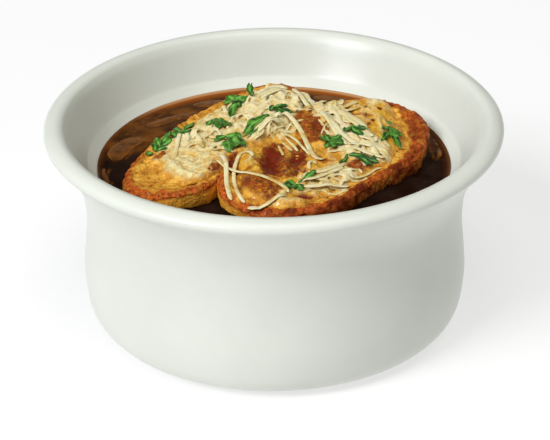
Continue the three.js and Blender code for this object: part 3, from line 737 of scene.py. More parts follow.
def near_line(x, y, line, reach):
    """Distance in plan to a line through places, where it is under a reach."""
    line = np.asarray(line, float)
    best = np.full(x.shape, reach)
    low, high = line.min(axis=0) - reach, line.max(axis=0) + reach
    close = (x > low[0]) & (x < high[0]) & (y > low[1]) & (y < high[1])
    px, py = x[close], y[close]
    found = best[close]
    for (ax, ay), (bx, by) in itertools.pairwise(line):
        dx, dy = bx - ax, by - ay
        share = np.clip(((px - ax) * dx + (py - ay) * dy) / (dx * dx + dy * dy), 0, 1)
        found = np.minimum(found, np.hypot(px - ax - share * dx, py - ay - share * dy))
    best[close] = found
    return best


def step_up(values, low, high):
    """0 below low, 1 above high, and smooth between."""
    share = np.clip((values - low) / (high - low), 0, 1)
    return share * share * (3 - 2 * share)


# ---- Heights on the dish ----


def bed_height(x, y):
    """What the cheese lies on: the two slices, with the step between them bridged."""
    left, right = (piece.carried(x, y) for piece in SLICES.values())
    blend = np.maximum(0, 1 - np.abs(left - right) / CHEESE_BRIDGE)
    bridged = np.maximum(left, right) + CHEESE_BRIDGE / 4 * blend**2
    return np.maximum(bridged, BROTH_LEVEL - CHEESE_DIP)


def curve_through(points, steps):
    """Places on a smooth curve from the second of some points to the last but one of them."""
    out = []
    for a, b, c, d in zip(points, points[1:], points[2:], points[3:]):
        for s in np.arange(steps) / steps:
            bend = (2 * a - 5 * b + 4 * c - d) * s**2 + (3 * b - a - 3 * c + d) * s**3
            out.append(0.5 * (2 * b + (c - a) * s + bend))
    return out


def closed_curve(points, steps):
    """A smooth closed curve through plan points."""
    return np.array(curve_through(np.array([points[-1], *points, *points[:2]], float), steps))


def smooth_outline(points, steps):
    """An open outline with a few places between each two of its points."""
    points = np.array(points, float)
    padded = np.vstack([2 * points[0] - points[1], points, 2 * points[-1] - points[-2]])
    return [tuple(place) for place in (*curve_through(padded, steps), points[-1])]


CHEESE_EDGE_LINE = closed_curve(CHEESE_OUTLINE, 8) - np.array(CHEESE_CENTRE)
CHEESE_EDGE_REACH, CHEESE_EDGE_ANGLES = polar(CHEESE_EDGE_LINE)
CHEESE_EDGE_ORDER = np.argsort(CHEESE_EDGE_ANGLES)


def cheese_reach(angle):
    """How far the melted cheese reaches from its middle towards an angle."""
    angles = CHEESE_EDGE_ANGLES[CHEESE_EDGE_ORDER]
    reaches = CHEESE_EDGE_REACH[CHEESE_EDGE_ORDER]
    wobble = 0.5 * np.sin(23 * angle + 1) + 0.35 * np.sin(41 * angle)
    return np.interp(angle, angles, reaches, period=2 * math.pi) + wobble


def cheese_height(x, y):
    """Top of the melted cheese: the bed, its thickness, its blisters and its hollows."""
    dx, dy = x - CHEESE_CENTRE[0], y - CHEESE_CENTRE[1]
    share = np.minimum(np.hypot(dx, dy) / cheese_reach(np.arctan2(dy, dx)), 1)
    rounded = np.maximum(0, 1 - share**12) ** 0.6
    points = flat(x, y)
    lumps = 0.36 * rough(points, 6.5, 11, 2) + 0.5 * rough(points, 2.6, 5, 3)
    lumps += 0.5 * step_up(spotted(x, y, PALE, 0.35, 5, 17), 0.4, 0.7)
    swell = lumps + raised(x, y, BLISTERS) - raised(x, y, HOLLOWS)
    return bed_height(x, y) - CHEESE_TUCK + (CHEESE_THICKNESS + CHEESE_TUCK + swell) * rounded


def drift_height(x, y):
    """How high the drifts of shreds stand above the melted cheese."""
    share = np.min([drift.outline.share(x, y) for drift in DRIFTS], axis=0)
    mound = MOUND_HEIGHT * (1 + 0.25 * rough(flat(x, y), 7, 21)) * (1 - share**3)
    return np.where(share < 1, mound, 0)


# ---- Materials ----


def feed(tree, socket, value):
    """Links a socket to an input, or sets a plain value or colour on it."""
    if isinstance(value, bpy.types.NodeSocket):
        tree.links.new(value, socket)
    elif socket.type == "RGBA":
        socket.default_value = (*value, 1)
    else:
        socket.default_value = value


def add_node(tree, kind, inputs=None, **values):
    """Adds a node, sets its options, and sets or links its inputs."""
    made = tree.nodes.new(kind)
    for name, value in values.items():
        setattr(made, name, value)
    for name, value in (inputs or {}).items():
        feed(tree, made.inputs[name], value)
    return made


def new_material(name, **sockets):
    """A material with one Principled shader, whose plain values are set on its own sockets."""
    material = bpy.data.materials.new(name)
    material.use_nodes = True
    shader = material.node_tree.nodes["Principled BSDF"]
    for socket, value in sockets.items():
        feed(material.node_tree, shader.inputs[socket.replace("_", " ")], value)
    return material, material.node_tree, shader


MELT_RADIUS = (1, 0.7, 0.35)  # how far red, green and blue light spread in cheese, as shares
MELT_DEPTH = 1.5 * MM


def tinted(colour, *factors):
    """A colour with its red, green and blue multiplied: all by one factor, or each by its own."""
    return tuple(min(1, c * k) for c, k in zip(colour, itertools.cycle(factors)))


def blend_colour(tree, share, first, second):
    """Mixes two colours, each a socket or a plain colour, by a share."""
    inputs = {0: share, 6: first, 7: second}
    return add_node(tree, "ShaderNodeMix", inputs, data_type="RGBA").outputs[2]


def calculate(tree, operation, first, second=0.0, clamp=True):
    """A Math node on two values, each a socket or a number."""
    made = add_node(tree, "ShaderNodeMath", {0: first, 1: second}, operation=operation)
    made.use_clamp = clamp
    return made.outputs[0]


def painted(tree, name):
    """The value that a piece carries under this name."""
    return add_node(tree, "ShaderNodeAttribute", attribute_name=name).outputs["Fac"]


def layered(tree, colour, *layers):
    """Lays colours over a first one, each as (painted value, how much of it counts, colour)."""
    for name, most, over in layers:
        share = painted(tree, name)
        if most < 1:
            share = calculate(tree, "MULTIPLY", share, most)
        colour = blend_colour(tree, share, colour, over)
    return colour


def object_place(tree):
    return add_node(tree, "ShaderNodeTexCoord").outputs["Object"]


def new_group(name, inputs, outputs):
    """A shader node group with named sockets: floats, or colours where a tuple is given."""
    group = bpy.data.node_groups.new(name, "ShaderNodeTree")
    group.interface.new_socket("Place", in_out="INPUT", socket_type="NodeSocketVector")
    for socket, default in inputs.items():
        kind = "NodeSocketColor" if isinstance(default, tuple) else "NodeSocketFloat"
        made = group.interface.new_socket(socket, in_out="INPUT", socket_type=kind)
        made.default_value = default
    for socket, kind in outputs.items():
        group.interface.new_socket(socket, in_out="OUTPUT", socket_type=kind)
    return group, group.nodes.new("NodeGroupInput"), group.nodes.new("NodeGroupOutput")


def mottle_group():
    """Two colours in uneven patches, with finer patches inside them."""
    if "Mottle" in bpy.data.node_groups:
        return bpy.data.node_groups["Mottle"]
    inputs = {"Size": 300.0, "First": (1, 1, 1, 1), "Second": (0, 0, 0, 1)}
    inputs |= {"Bias": 0.5, "Contrast": 3.5}
    group, entry, leave = new_group("Mottle", inputs, {"Colour": "NodeSocketColor"})
    given = entry.outputs
    place = {"Vector": given["Place"], "Scale": given["Size"], "Detail": 6.0, "Roughness": 0.62}
    noise = add_node(group, "ShaderNodeTexNoise", place).outputs["Fac"]
    centred = calculate(group, "SUBTRACT", noise, given["Bias"], False)
    spread = calculate(group, "MULTIPLY", centred, given["Contrast"], False)
    share = calculate(group, "ADD", spread, 0.5)
    mixed = blend_colour(group, share, given["First"], given["Second"])
    group.links.new(mixed, leave.inputs["Colour"])
    return group


def grain_group():
    """Heights of a fine uneven surface: soft bumps with small pits."""
    if "Grain" in bpy.data.node_groups:
        return bpy.data.node_groups["Grain"]
    inputs = {"Bumps": 900.0, "Pits": 1400.0, "Pit depth": 0.5}
    group, entry, leave = new_group("Grain", inputs, {"Height": "NodeSocketFloat"})
    given = entry.outputs
    place = {"Vector": given["Place"], "Scale": given["Bumps"], "Detail": 4.0}
    bumps = add_node(group, "ShaderNodeTexNoise", place).outputs["Fac"]
    place = {"Vector": given["Place"], "Scale": given["Pits"]}
    pits = add_node(group, "ShaderNodeTexVoronoi", place).outputs["Distance"]
    hollow = calculate(group, "LESS_THAN", pits, 0.25)
    depth = calculate(group, "MULTIPLY", hollow, given["Pit depth"], False)
    height = calculate(group, "SUBTRACT", bumps, depth, False)
    group.links.new(height, leave.inputs["Height"])
    return group


def mottle(tree, place, size, first, second, bias=0.5, contrast=3.5):
    """The colour of uneven patches; a larger size gives smaller patches."""
    inputs = {"Place": place, "Size": size, "First": first, "Second": second}
    inputs |= {"Bias": bias, "Contrast": contrast}
    return add_node(tree, "ShaderNodeGroup", inputs, node_tree=mottle_group()).outputs["Colour"]


def grain(tree, place, bumps, pits, pit_depth):
    """The height of a fine uneven surface."""
    inputs = {"Place": place, "Bumps": bumps, "Pits": pits, "Pit depth": pit_depth}
    return add_node(tree, "ShaderNodeGroup", inputs, node_tree=grain_group()).outputs["Height"]


def surface(tree, shader, colour, height, distance):
    """Gives the shader its colour, and a relief whose full height is a distance in millimetres."""
    tree.links.new(colour, shader.inputs["Base Color"])
    relief = add_node(tree, "ShaderNodeBump", {"Height": height, "Distance": distance * MM})
    tree.links.new(relief.outputs["Normal"], shader.inputs["Normal"])


def glaze_material():
    crock = settings().crock
    material, tree, shader = new_material(
        "glaze", Roughness=crock.gloss, Specular_IOR_Level=0.35
    )
    place = object_place(tree)
    glazed = mottle(tree, place, 18.0, crock.glaze, tinted(crock.glaze, 0.94))
    bare = mottle(tree, place, 600.0, crock.clay, tinted(crock.clay, 0.8))
    colour = layered(tree, glazed, ("bare", 1, bare))
    surface(tree, shader, colour, grain(tree, place, 55.0, 900.0, 0.0), 0.12)
    return material


FILM_COLOUR = linear("#cfa577")


def broth_material():
    broth = settings().broth
    material, tree, shader = new_material(
        "broth", Roughness=0.08, IOR=1.14, Specular_IOR_Level=0.12
    )
    place = object_place(tree)
    lifted = tuple(1.9 * c + 0.004 for c in broth.deep)
    deep = mottle(tree, place, 120.0, broth.deep, lifted, 0.55)
    streaky = mottle(tree, place, 260.0, broth.onion, tinted(broth.onion, 0.5))
    layers = ("onion_glow", 1, streaky), ("thin", 1, broth.shallow), ("film", 1, FILM_COLOUR)
    colour = layered(tree, deep, *layers)
    surface(tree, shader, colour, grain(tree, place, 90.0, 700.0, 0.0), 0.15)
    return material


def onion_material():
    onion = settings().broth.onion
    material, tree, shader = new_material(
        "soft_onion", Roughness=0.2, IOR=1.3, Specular_IOR_Level=0.15, Coat_Weight=0.04,
        Coat_Roughness=0.08,
    )
    place = object_place(tree)
    flesh = mottle(tree, place, 260.0, onion, tinted(onion, 0.45))
    colour = layered(tree, flesh, ("pale_edge", 0.7, tinted(onion, 1.9)))
    surface(tree, shader, colour, grain(tree, place, 500.0, 900.0, 0.1), 0.2)
    return material


def glints(tree, shader, place, size, bare, most):
    """Small wet places in the coat: none below a share of the noise, and up to a weight."""
    noise = add_node(tree, "ShaderNodeTexNoise", {"Vector": place, "Scale": size, "Detail": 2.0})
    over = calculate(tree, "SUBTRACT", noise.outputs["Fac"], bare)
    weight = calculate(tree, "MULTIPLY", over, 8.0 * most, False)
    wet = calculate(tree, "MINIMUM", weight, most)
    tree.links.new(wet, shader.inputs["Coat Weight"])


def toasted_crumb(tree, place):
    """Golden toasted crumb, with darker grains."""
    crumb = settings().toast.crumb
    broad = mottle(tree, place, 300.0, tinted(crumb, 1.36, 1.65, 2.2), crumb, 0.48, 10.0)
    return mottle(tree, place, 480.0, broad, tinted(crumb, 0.62, 0.42, 0.26), 0.6, 8.0)


def toast_material():
    toast = settings().toast
    material, tree, shader = new_material(
        "toast", Roughness=0.5, Specular_IOR_Level=0.05, Coat_Roughness=0.12
    )
    place = object_place(tree)
    glints(tree, shader, place, 900.0, 0.57, 0.35)
    crust = mottle(tree, place, 800.0, toast.crust, toast.char, 0.54, 6.0)
    crust = mottle(tree, place, 1300.0, tinted(toast.crust, 1.3, 1.6, 1.8), crust, 0.42, 7.0)
    crust = mottle(tree, place, 380.0, crust, toast.crumb, 0.61, 8.0)
    # Some layers carry painted light and shade: lighter sides facing the light, darker crust away
    # from it.
    colour = layered(
        tree,
        toasted_crumb(tree, place),
        ("side", 1, tinted(toast.crumb, 1.7, 1.7, 1.6)),
        ("crust", 1, crust),
        ("char", 1, toast.char),
        ("pore_shade", 0.5, toast.char),
        ("soaked_and_shaded", 1, tinted(toast.crust, 0.22)),
    )
    surface(tree, shader, colour, grain(tree, place, 1100.0, 1000.0, 0.45), 0.75)
    return material


def melted_material():
    cheese = settings().cheese
    material, tree, shader = new_material(
        "melted_cheese", Roughness=0.36, Specular_IOR_Level=0.08, Subsurface_Weight=0.06,
        Subsurface_Scale=MELT_DEPTH, Subsurface_Radius=MELT_RADIUS, Coat_Roughness=0.1,
    )
    place = object_place(tree)
    glints(tree, shader, place, 420.0, 0.48, 0.8)
    toasted = toasted_crumb(tree, place)
    orange = tinted(cheese.golden, 0.82, 0.64, 0.3)
    browned = mottle(tree, place, 700.0, cheese.browned, tinted(cheese.browned, 0.4), 0.53, 7.0)
    colour = layered(
        tree,
        toasted,
        ("golden", 1, mottle(tree, place, 420.0, cheese.golden, orange, 0.55, 6.0)),
        ("pale", 1, mottle(tree, place, 300.0, cheese.pale, cheese.golden, 0.6, 4.5)),
        ("strand", 0.7, cheese.pale),
        # Painted shade: orange in the hollows.
        ("low", 0.5, orange),
        ("browned", 1, mottle(tree, place, 1000.0, orange, browned, 0.4, 8.0)),
        ("thin", 1, toasted),
        ("burnt", 1, cheese.burnt),
    )
    surface(tree, shader, colour, grain(tree, place, 850.0, 1300.0, 0.2), 0.7)
    return material


def shred_material():
    cheese = settings().cheese
    material, tree, shader = new_material(
        "shredded_cheese", Roughness=0.4, Specular_IOR_Level=0.2, Subsurface_Weight=0.35,
        Subsurface_Scale=MELT_DEPTH, Subsurface_Radius=MELT_RADIUS, Coat_Roughness=0.15,
    )
    place = object_place(tree)
    glints(tree, shader, place, 500.0, 0.52, 0.5)
    warm = tinted(cheese.shred, 0.95, 0.84, 0.6)
    cream = blend_colour(tree, painted(tree, "tint"), cheese.shred, warm)
    dim = tinted(cheese.pale, 0.92)
    # The melted colour also serves as painted shade in the gaps between shreds.
    molten_and_shaded = mottle(tree, place, 330.0, dim, tinted(cheese.golden, 0.8), 0.5, 6.0)
    colour = layered(tree, cream, ("melted", 1, molten_and_shaded))
    surface(tree, shader, colour, grain(tree, place, 900.0, 700.0, 0.1), 0.25)
    return material


def leaf_material():
    parsley = settings().parsley
    material, tree, shader = new_material(
        "parsley", Roughness=0.4, Specular_IOR_Level=0.2, Coat_Weight=0.1, Coat_Roughness=0.2
    )
    place = object_place(tree)
    leaf = mottle(tree, place, 420.0, parsley.leaf, tinted(parsley.leaf, 0.25), 0.5, 6.0)
    light = tuple(min(1, 1.5 * c + 0.04) for c in parsley.leaf)
    # Painted shade: in the leaflets' folds, and on whole bits that lie in their own shade.
    layers = ("fold", 1, parsley.shade), ("shade", 1, parsley.shade), ("rib", 1, light)
    colour = layered(tree, leaf, *layers)
    surface(tree, shader, colour, grain(tree, place, 900.0, 900.0, 0.15), 0.1)
    return material


# ---- The pieces ----


def lip_arc(start, end, steps):
    """The rolled lip's outer round, from under it up to its crest."""
    angles = np.radians(np.linspace(start, end, steps))
    r, z = LIP_CREST
    return [(r + LIP_OUT * math.cos(a), z + LIP_RISE * math.sin(a)) for a in angles]


class SOUP_OT_crock(bpy.types.Operator):
    """Turns the glazed crock with its foot ring, flared wall and rolled lip"""

    bl_idname = "soup.crock"
    bl_label = "Crock"

    def execute(self, context):
        wall, inside = smooth_outline(WALL_OUTLINE, 3), smooth_outline(INSIDE_OUTLINE, 3)
        outline = [*FOOT_OUTLINE, *wall, *lip_arc(-38, 90, 14), *inside]
        crock = turned_piece("crock", outline, settings().crock.sides)
        co = places(crock)
        paint(crock, "bare", step_up(-co[:, 2], -0.35, -0.1) * step_up(polar(co)[0], 43, 44))
        finish_piece(crock, glaze_material(), "glaze", "bowl")
        return {"FINISHED"}


# Onions that lie just under the surface: broad patches, and the edges that show.
SUNK_ONIONS = spots(
    (-42, 20, 17, 8, 50, 1), (-26, 37, 12, 6, 22, 0.9), (24, 40, 16, 6, -30, 0.8),
    (49, 12, 9, 2.6, 100, 0.5),
)
SUNK_EDGES = [
    [(-50, 4), (-49, 11), (-45, 17), (-40, 20), (-37, 24)],
    [(-46, 3), (-44, 9), (-40, 14), (-36, 16)],
    [(-47, 20), (-42, 26), (-36, 30), (-30, 30)],
    [(-38, 33), (-32, 38), (-25, 41), (-18, 41)],
    [(-50.5, -4), (-51, -9), (-49, -14)],
    [(48.6, 18), (50.6, 13), (51.4, 7), (50.4, 1)],
    [(46.6, 12), (49, 8), (49.6, 2)],
    [(38, -30), (42.6, -25), (45.6, -20)],
    [(31, -36), (36, -33), (40, -29.6)],
]


class SOUP_OT_broth(bpy.types.Operator):
    """Fills the crock with broth that creeps up the wall and round the toasts"""

    bl_idname = "soup.broth"
    bl_label = "Broth"

    @staticmethod
    def sunk_edges(x, y):
        total = np.zeros_like(x)
        for line in SUNK_EDGES:
            away = near_line(x, y, smooth_outline(line, 5), 1.2)
            total = np.maximum(total, near(away, 0, 0.34))
        return total

    def execute(self, context):
        level, edge = BROTH_LEVEL, BROTH_RADIUS
        wall = [
            (0, BROTH_FLOOR), (37.6, BROTH_FLOOR), (45.4, 8.1), (51.2, 12.4), (edge, 18.2),
            (edge, 34), (edge + 0.2, level - 1.4), (edge + 0.6, level),
            (edge + 1, level + FILM_RISE),
        ]
        creep = [
            (edge + 1 - s, level + FILM_RISE * math.exp(-s / 0.7)) for s in (0.3, 0.7, 1.2, 1.8, 2.6)
        ]
        surface = [(r, level) for r in np.linspace(edge - 2.4, 1, 72)]
        broth = turned_piece("broth", [*wall, *creep, *surface, (0, level)], 240)
        co = places(broth)
        x, y = co[:, 0], co[:, 1]
        top = co[:, 2] > level - 0.1
        shares = [(piece.share(x, y) - 1) * piece.half_width for piece in SLICES.values()]
        beside = np.min(shares, axis=0)
        climb = 0.9 * np.exp(-np.maximum(beside, 0) / 0.8)
        ripple = 0.05 * rough(flat(x, y), 9, 31, 2)
        co[:, 2] += np.where(top, climb + ripple, 0)
        put(broth, co)
        radius = polar(co)[0]
        back = step_up(y, 26, 48)
        spread = 1.2 + 3.6 * back
        thin = step_up(radius + 0.5 * rough(co, 7, 4), edge - spread, edge + 0.6)
        film = step_up(radius, edge - 0.3, edge + 0.9)
        paint(broth, "thin", np.maximum((0.12 + 0.8 * back) * thin, (0.3 + 0.65 * back) * film))
        paint(broth, "film", film * (0.04 + 0.6 * back))
        glow = spotted(x, y, SUNK_ONIONS) * (0.75 + 0.5 * rough(co, 5, 8))
        paint(broth, "onion_glow", np.maximum(glow, 0.9 * self.sunk_edges(x, y)))
        finish_piece(broth, broth_material(), "broth", "soup")
        return {"FINISHED"}


def strip_model(name, rings, sides):
    """A straight strip of unit length and unit half width along +X, to be copied and bent."""
    piece = start_piece(
        name, bpy.ops.mesh.primitive_circle_add, vertices=sides, radius=MM, fill_type="NGON",
        rotation=(math.pi / 2, math.pi / sides, math.pi / 2),
    )
    bpy.ops.object.transform_apply(location=False, rotation=True, scale=False)
    with editing(piece, "FACE"):
        bpy.ops.mesh.select_all(action="SELECT")
        for _ in range(rings):
            extrude(1 / rings, 0, 0)
    point_outwards(piece)
    return piece


def copy_of(model):
    """A copy of a piece with a mesh of its own."""
    piece = model.copy()
    piece.data = model.data.copy()
    bpy.context.scene.collection.objects.link(piece)
    return piece


def bent_copy(model, line, width, thickness, twist=0.0):
    """A copy of a straight strip laid along a line through places in millimetres."""
    piece = copy_of(model)
    co = places(piece)
    line = np.array(smooth_outline(line, 6))
    steps = np.linalg.norm(np.diff(line, axis=0), axis=1)
    travel = np.concatenate([[0], np.cumsum(steps)]) / steps.sum()
    ahead = np.gradient(line, axis=0)
    ahead /= np.linalg.norm(ahead, axis=1, keepdims=True)
    side = np.cross([0, 0, 1], ahead)
    side /= np.maximum(np.linalg.norm(side, axis=1, keepdims=True), 1e-6)
    over = np.cross(ahead, side)

    def at(values):
        return np.stack([np.interp(co[:, 0], travel, values[:, i]) for i in range(3)], axis=1)

    squared = np.sign(co[:, 1:]) * np.abs(co[:, 1:]) ** 0.7
    end = np.minimum(co[:, 0], 1 - co[:, 0]) * steps.sum() / width
    taper = np.sqrt(np.clip(end + 0.12, 0, 1))
    roll = twist * (co[:, 0] - 0.5)
    across = squared[:, 0] * width / 2 * taper
    rise = squared[:, 1] * thickness / 2 * taper
    right = across * np.cos(roll) - rise * np.sin(roll)
    up = rise * np.cos(roll) + across * np.sin(roll)
    put(piece, at(line) + at(side) * right[:, None] + at(over) * up[:, None])
    return piece


def thin_out(piece, hidden, share):
    """Merges faces where a piece lies hidden, until a share of all its faces is left."""
    group = piece.vertex_groups.new(name="hidden")
    group.add(np.flatnonzero(hidden).tolist(), 1, "REPLACE")
    apply_modifier(piece, "DECIMATE", ratio=share, vertex_group=group.name)
    piece.vertex_groups.clear()


def joined(name, pieces):
    """Joins pieces into the first of them and renames it."""
    bpy.ops.object.select_all(action="DESELECT")
    for piece in pieces:
        piece.select_set(True)
    bpy.context.view_layer.objects.active = pieces[0]
    bpy.ops.object.join()
    pieces[0].name = name
    pieces[0].data.name = name
    return pieces[0]


def discard(piece):
    bpy.data.objects.remove(piece)


class SOUP_OT_onions(bpy.types.Operator):
    """Lays the soft onion strips at the surface of the broth"""

    bl_idname = "soup.onions"
    bl_label = "Onions"

    def execute(self, context):
        material = onion_material()
        model = strip_model("onion_model", 60, 16)
        # Paler along both edges of each strip.
        paint(model, "pale_edge", step_up(np.abs(places(model)[:, 1]), 0.7, 0.98))
        for number, (route, width) in enumerate(ONIONS, 1):
            line = [(x, y, BROTH_LEVEL - 0.36 + 0.12 * (i % 2)) for i, (x, y) in enumerate(route)]
            onion = bent_copy(model, line, width, ONION_THICKNESS)
            onion.name = f"onion_strip_{number:02d}"
            co = places(onion)
            x, y, z = co.T
            z += 0.14 * rough(co, 2.2, number)
            x += 0.35 * rough(co, 4, number + 9)
            y += 0.35 * rough(co, 4, number + 19)
            put(onion, co)
            finish_piece(onion, material, "onion", f"onion_{number:02d}")
        discard(model)
        return {"FINISHED"}


def disc_grid(name, long_steps, cross_steps):
    """A square grid drawn round into a disc of radius 1, in millimetres."""
    piece = start_piece(
        name, bpy.ops.mesh.primitive_grid_add, x_subdivisions=long_steps,
        y_subdivisions=cross_steps, size=2 * MM,
    )
    co = places(piece)
    u, v = co[:, 0].copy(), co[:, 1].copy()
    co[:, 0] = u * np.sqrt(1 - v * v / 2)
    co[:, 1] = v * np.sqrt(1 - u * u / 2)
    put(piece, co)
    return piece


# The side of a slice from its top edge downwards: each step's depth, and how far it draws in.
TOAST_SIDE = [
    (0.35, 1.0), (0.5, 1.002), (0.8, 1.0), (1.2, 0.996), (1.4, 0.99), (1.5, 0.986), (1.6, 0.982),
    (2, 0.984), (2.5, 0.988), (2.6, 0.985),
]
# The way that faces away from the key light. Crust towards it is painted browner, darker and
# wetter: partly real browning, partly painted shade.
SHADED_SIDE = (0.8, -0.6)
# Where a slice's outline is fuller: the place, how far it is pushed out and which way.
FULLER = {
    "toast_left": [(Spot(-22, -28, 9, 7, 56, 2.6), (0.83, -0.56))],
    "toast_right": [
        (Spot(-18, -25, 7, 6, 50, 1.2), (-0.9, 0.2)),
        (Spot(43.5, -6.5, 13, 8, 56, 2.0), (0.8, -0.6)),
        (Spot(17, -36.5, 10, 8, 45, 2.2), (0.6, -0.8)),
    ],
}
# Where the crust reaches further in over the top, as a share of the slice.
WIDE_CRUST = [Spot(45, 10, 15, 8, 80, 0.1), Spot(-41, -20, 10, 5, -50, 0.04)]
# The crest of crust at the far end of the left slice.
FAR_CREST = Spot(3, 37.5, 9, 4, 20, 1.0)


def toast_piece(name, bread):
    """A slice of toast: a top grid in the slice's outline, drawn down into its sides and closed."""
    piece = disc_grid(name, 210, 96)
    x, y = bread.spread(places(piece))
    share = bread.share(x, y)
    height = bread.face(x, y) + crust_ridge(share) - 0.5 * step_up(share, 0.96, 1.0)
    put(piece, np.column_stack([x, y, height]))
    centre = (bread.centre[0] * MM, bread.centre[1] * MM, 0)
    with editing(piece, "EDGE"):
        select_rim()
        for down, grow in TOAST_SIDE:
            extrude(0, 0, -down)
            widen(grow, centre)
        bpy.ops.mesh.edge_face_add()
    point_outwards(piece)
    return piece


class SOUP_OT_toasts(bpy.types.Operator):
    """Bakes the two slices of toast, with a browned rim and porous sides"""

    bl_idname = "soup.toasts"
    bl_label = "Toasts"

    def execute(self, context):
        material = toast_material()
        for name, bread in SLICES.items():
            piece = toast_piece(f"{name}_slice", bread)
            co = places(piece)
            x, y, z = co.T
            out = normals(piece)
            share = bread.share(x, y)
            for corner, way in FULLER[name]:
                co[:, :2] += raised(x, y, [corner])[:, None] * way
            z += np.where(share < 1.02, raised(x, y, [FAR_CREST]), 0)
            # Away from the key light the crust browns more, and is also painted darker as shade.
            away = x * SHADED_SIDE[0] + y * SHADED_SIDE[1]
            browned_and_shaded = step_up(away, 10, 28)
            rim_start = 0.915 - 0.05 * browned_and_shaded - raised(x, y, WIDE_CRUST)
            ragged = 0.04 * rough(co, 2.6, 51)
            rim = step_up(share + ragged, rim_start, rim_start + 0.05)
            relief = (0.2 + 0.12 * rim) * rough(co, 3.4, 2)
            relief += (0.26 + 0.1 * rim) * rough(co, 1.3, 7, 2)
            relief -= 0.6 * step_up(rough(co, 1.9, 14), 0.7, 1.1)
            put(piece, co + out * relief[:, None])
            below = bread.face(x, y) - z
            side = step_up(below, 0.6, 1.5)
            patchy = 0.5 + 0.5 * rough(co, 4.5, 40)
            # Crust colour on the side walls, most on the side away from the light: partly real,
            # partly painted shade.
            walls = 0.75 * browned_and_shaded + 0.5 * (patchy - 0.5)
            paint(piece, "crust", rim * (1 - side) + side * walls)
            dark = near(share, 0.97, 0.04) * (1 - side)
            # Sides painted a lighter golden where they face the light: partly the bare crumb's
            # colour, partly painted light.
            paint(piece, "side", 0.7 * side * (1 - browned_and_shaded))
            # Char: the dark line at the crust's edge, plus painted shade on the rim and walls away
            # from the light.
            charred_and_shaded = 0.42 * dark * step_up(patchy, 0.25, 0.85) + 0.3 * browned_and_shaded * side
            charred_and_shaded += 0.7 * browned_and_shaded * rim * step_up(patchy + 0.45 * rough(co, 1.6, 4), 0.1, 0.9)
            paint(piece, "char", charred_and_shaded)
            # Painted shade: the pores and small hollows are darkened towards the char colour.
            paint(piece, "pore_shade", step_up(hollowness(piece, 8), 0.06, 0.24))
            # Darker wet band at the waterline, raised on the side away from the light as painted
            # shade.
            wet = BROTH_LEVEL + 0.1 + 0.9 * browned_and_shaded - z + 0.4 * rough(co, 3, 6)
            paint(piece, "soaked_and_shaded", step_up(wet, 0, 1.2))
            finish_piece(piece, material, "toast", name)
        return {"FINISHED"}


def walk(x, y, headings, stride):
    """Plan places from a start on, one stride along each heading."""
    route = [(x, y)]
    for heading in headings:
        x += stride * math.cos(heading)
        y += stride * math.sin(heading)
        route.append((x, y))
    return route


def melted_strands(x, y):
    """How far places lie on the ridges of shreds that melted into the sheet."""
    rng = random.Random(MELTED_SEED)
    total = np.zeros_like(x)
    for line, width in RIDGES:
        away = near_line(x, y, smooth_outline(line, 5), 2 * width)
        total = np.maximum(total, 1.5 * near(away, 0, 0.5 * width))
    for patch in PALE + GOLDEN:
        for _ in range(int(0.1 * patch.length * patch.width)):
            along = rng.uniform(-1, 1) * patch.length
            across = rng.uniform(-1, 1) * patch.width
            dx, dy = along_and_across(along, across, -patch.heading)
            heading = math.radians(patch.heading) + rng.gauss(0, 0.9)
            bend = rng.uniform(-0.35, 0.35)
            headings = [heading + step * bend for step in range(6)]
            line = walk(patch.x + dx, patch.y + dy, headings, 1.6)
            ridge = near(near_line(x, y, line, 2.4), 0, rng.uniform(0.5, 0.8))
            total = np.maximum(total, ridge * rng.uniform(0.4, 0.9))
    return total


class SOUP_OT_melted_cheese(bpy.types.Operator):
    """Melts one sheet of cheese over both toasts, blistered, browned and torn"""

    bl_idname = "soup.melted_cheese"
    bl_label = "Melted cheese"

    def execute(self, context):
        piece = disc_grid("cheese_sheet", 216, 190)
        radius, angle = polar(places(piece))
        reach = radius * cheese_reach(angle)
        x = CHEESE_CENTRE[0] + reach * np.cos(angle)
        y = CHEESE_CENTRE[1] + reach * np.sin(angle)
        strands = melted_strands(x, y)
        inside = 1 - step_up(radius, 0.9, 0.99)
        paint(piece, "strand", strands)
        paint(piece, "thin", 1 - inside)
        height = cheese_height(x, y) + 0.5 * strands * inside
        put(piece, np.column_stack([x, y, height]))
        apply_modifier(piece, "SOLIDIFY", thickness=SHEET_WALL * MM, offset=-1, use_rim=True)
        point_outwards(piece)
        co = places(piece)
        x, y = co[:, 0], co[:, 1]
        uneven = rough(flat(x, y), 2.4, 5, 2)
        # Painted shade: hollows and low places in the sheet are painted orange.
        hollow_shade = step_up(hollowness(piece, 12), -0.02, 0.16)
        paint(piece, "low", np.maximum(hollow_shade, 0.6 * step_up(-uneven, 0.1, 0.8)))
        paint(piece, "pale", spotted(x, y, PALE, 0.35, 5, 17) * (0.95 + 0.4 * uneven))
        paint(piece, "golden", spotted(x, y, GOLDEN, 0.35, 4, 19) * (1 + 0.4 * uneven))
        browned = spotted(x, y, BROWNED, 0.45, 1.8, 23) * (1.0 + 0.5 * uneven)
        paint(piece, "browned", step_up(browned, 0.2, 0.8))
        paint(piece, "burnt", spotted(x, y, BURNT, 0.5, 1.8, 29))
        finish_piece(piece, melted_material(), "melted_cheese", "melted_cheese")
        return {"FINISHED"}


BASE_PIECES = ("toast_left_slice", "toast_right_slice", "cheese_sheet")


def laid(tops, route, above):
    """A plan route laid on the drifts, at heights above them."""
    x, y = np.array(route, float).T
    return np.column_stack([x, y, tops(x, y) + drift_height(x, y) + above])


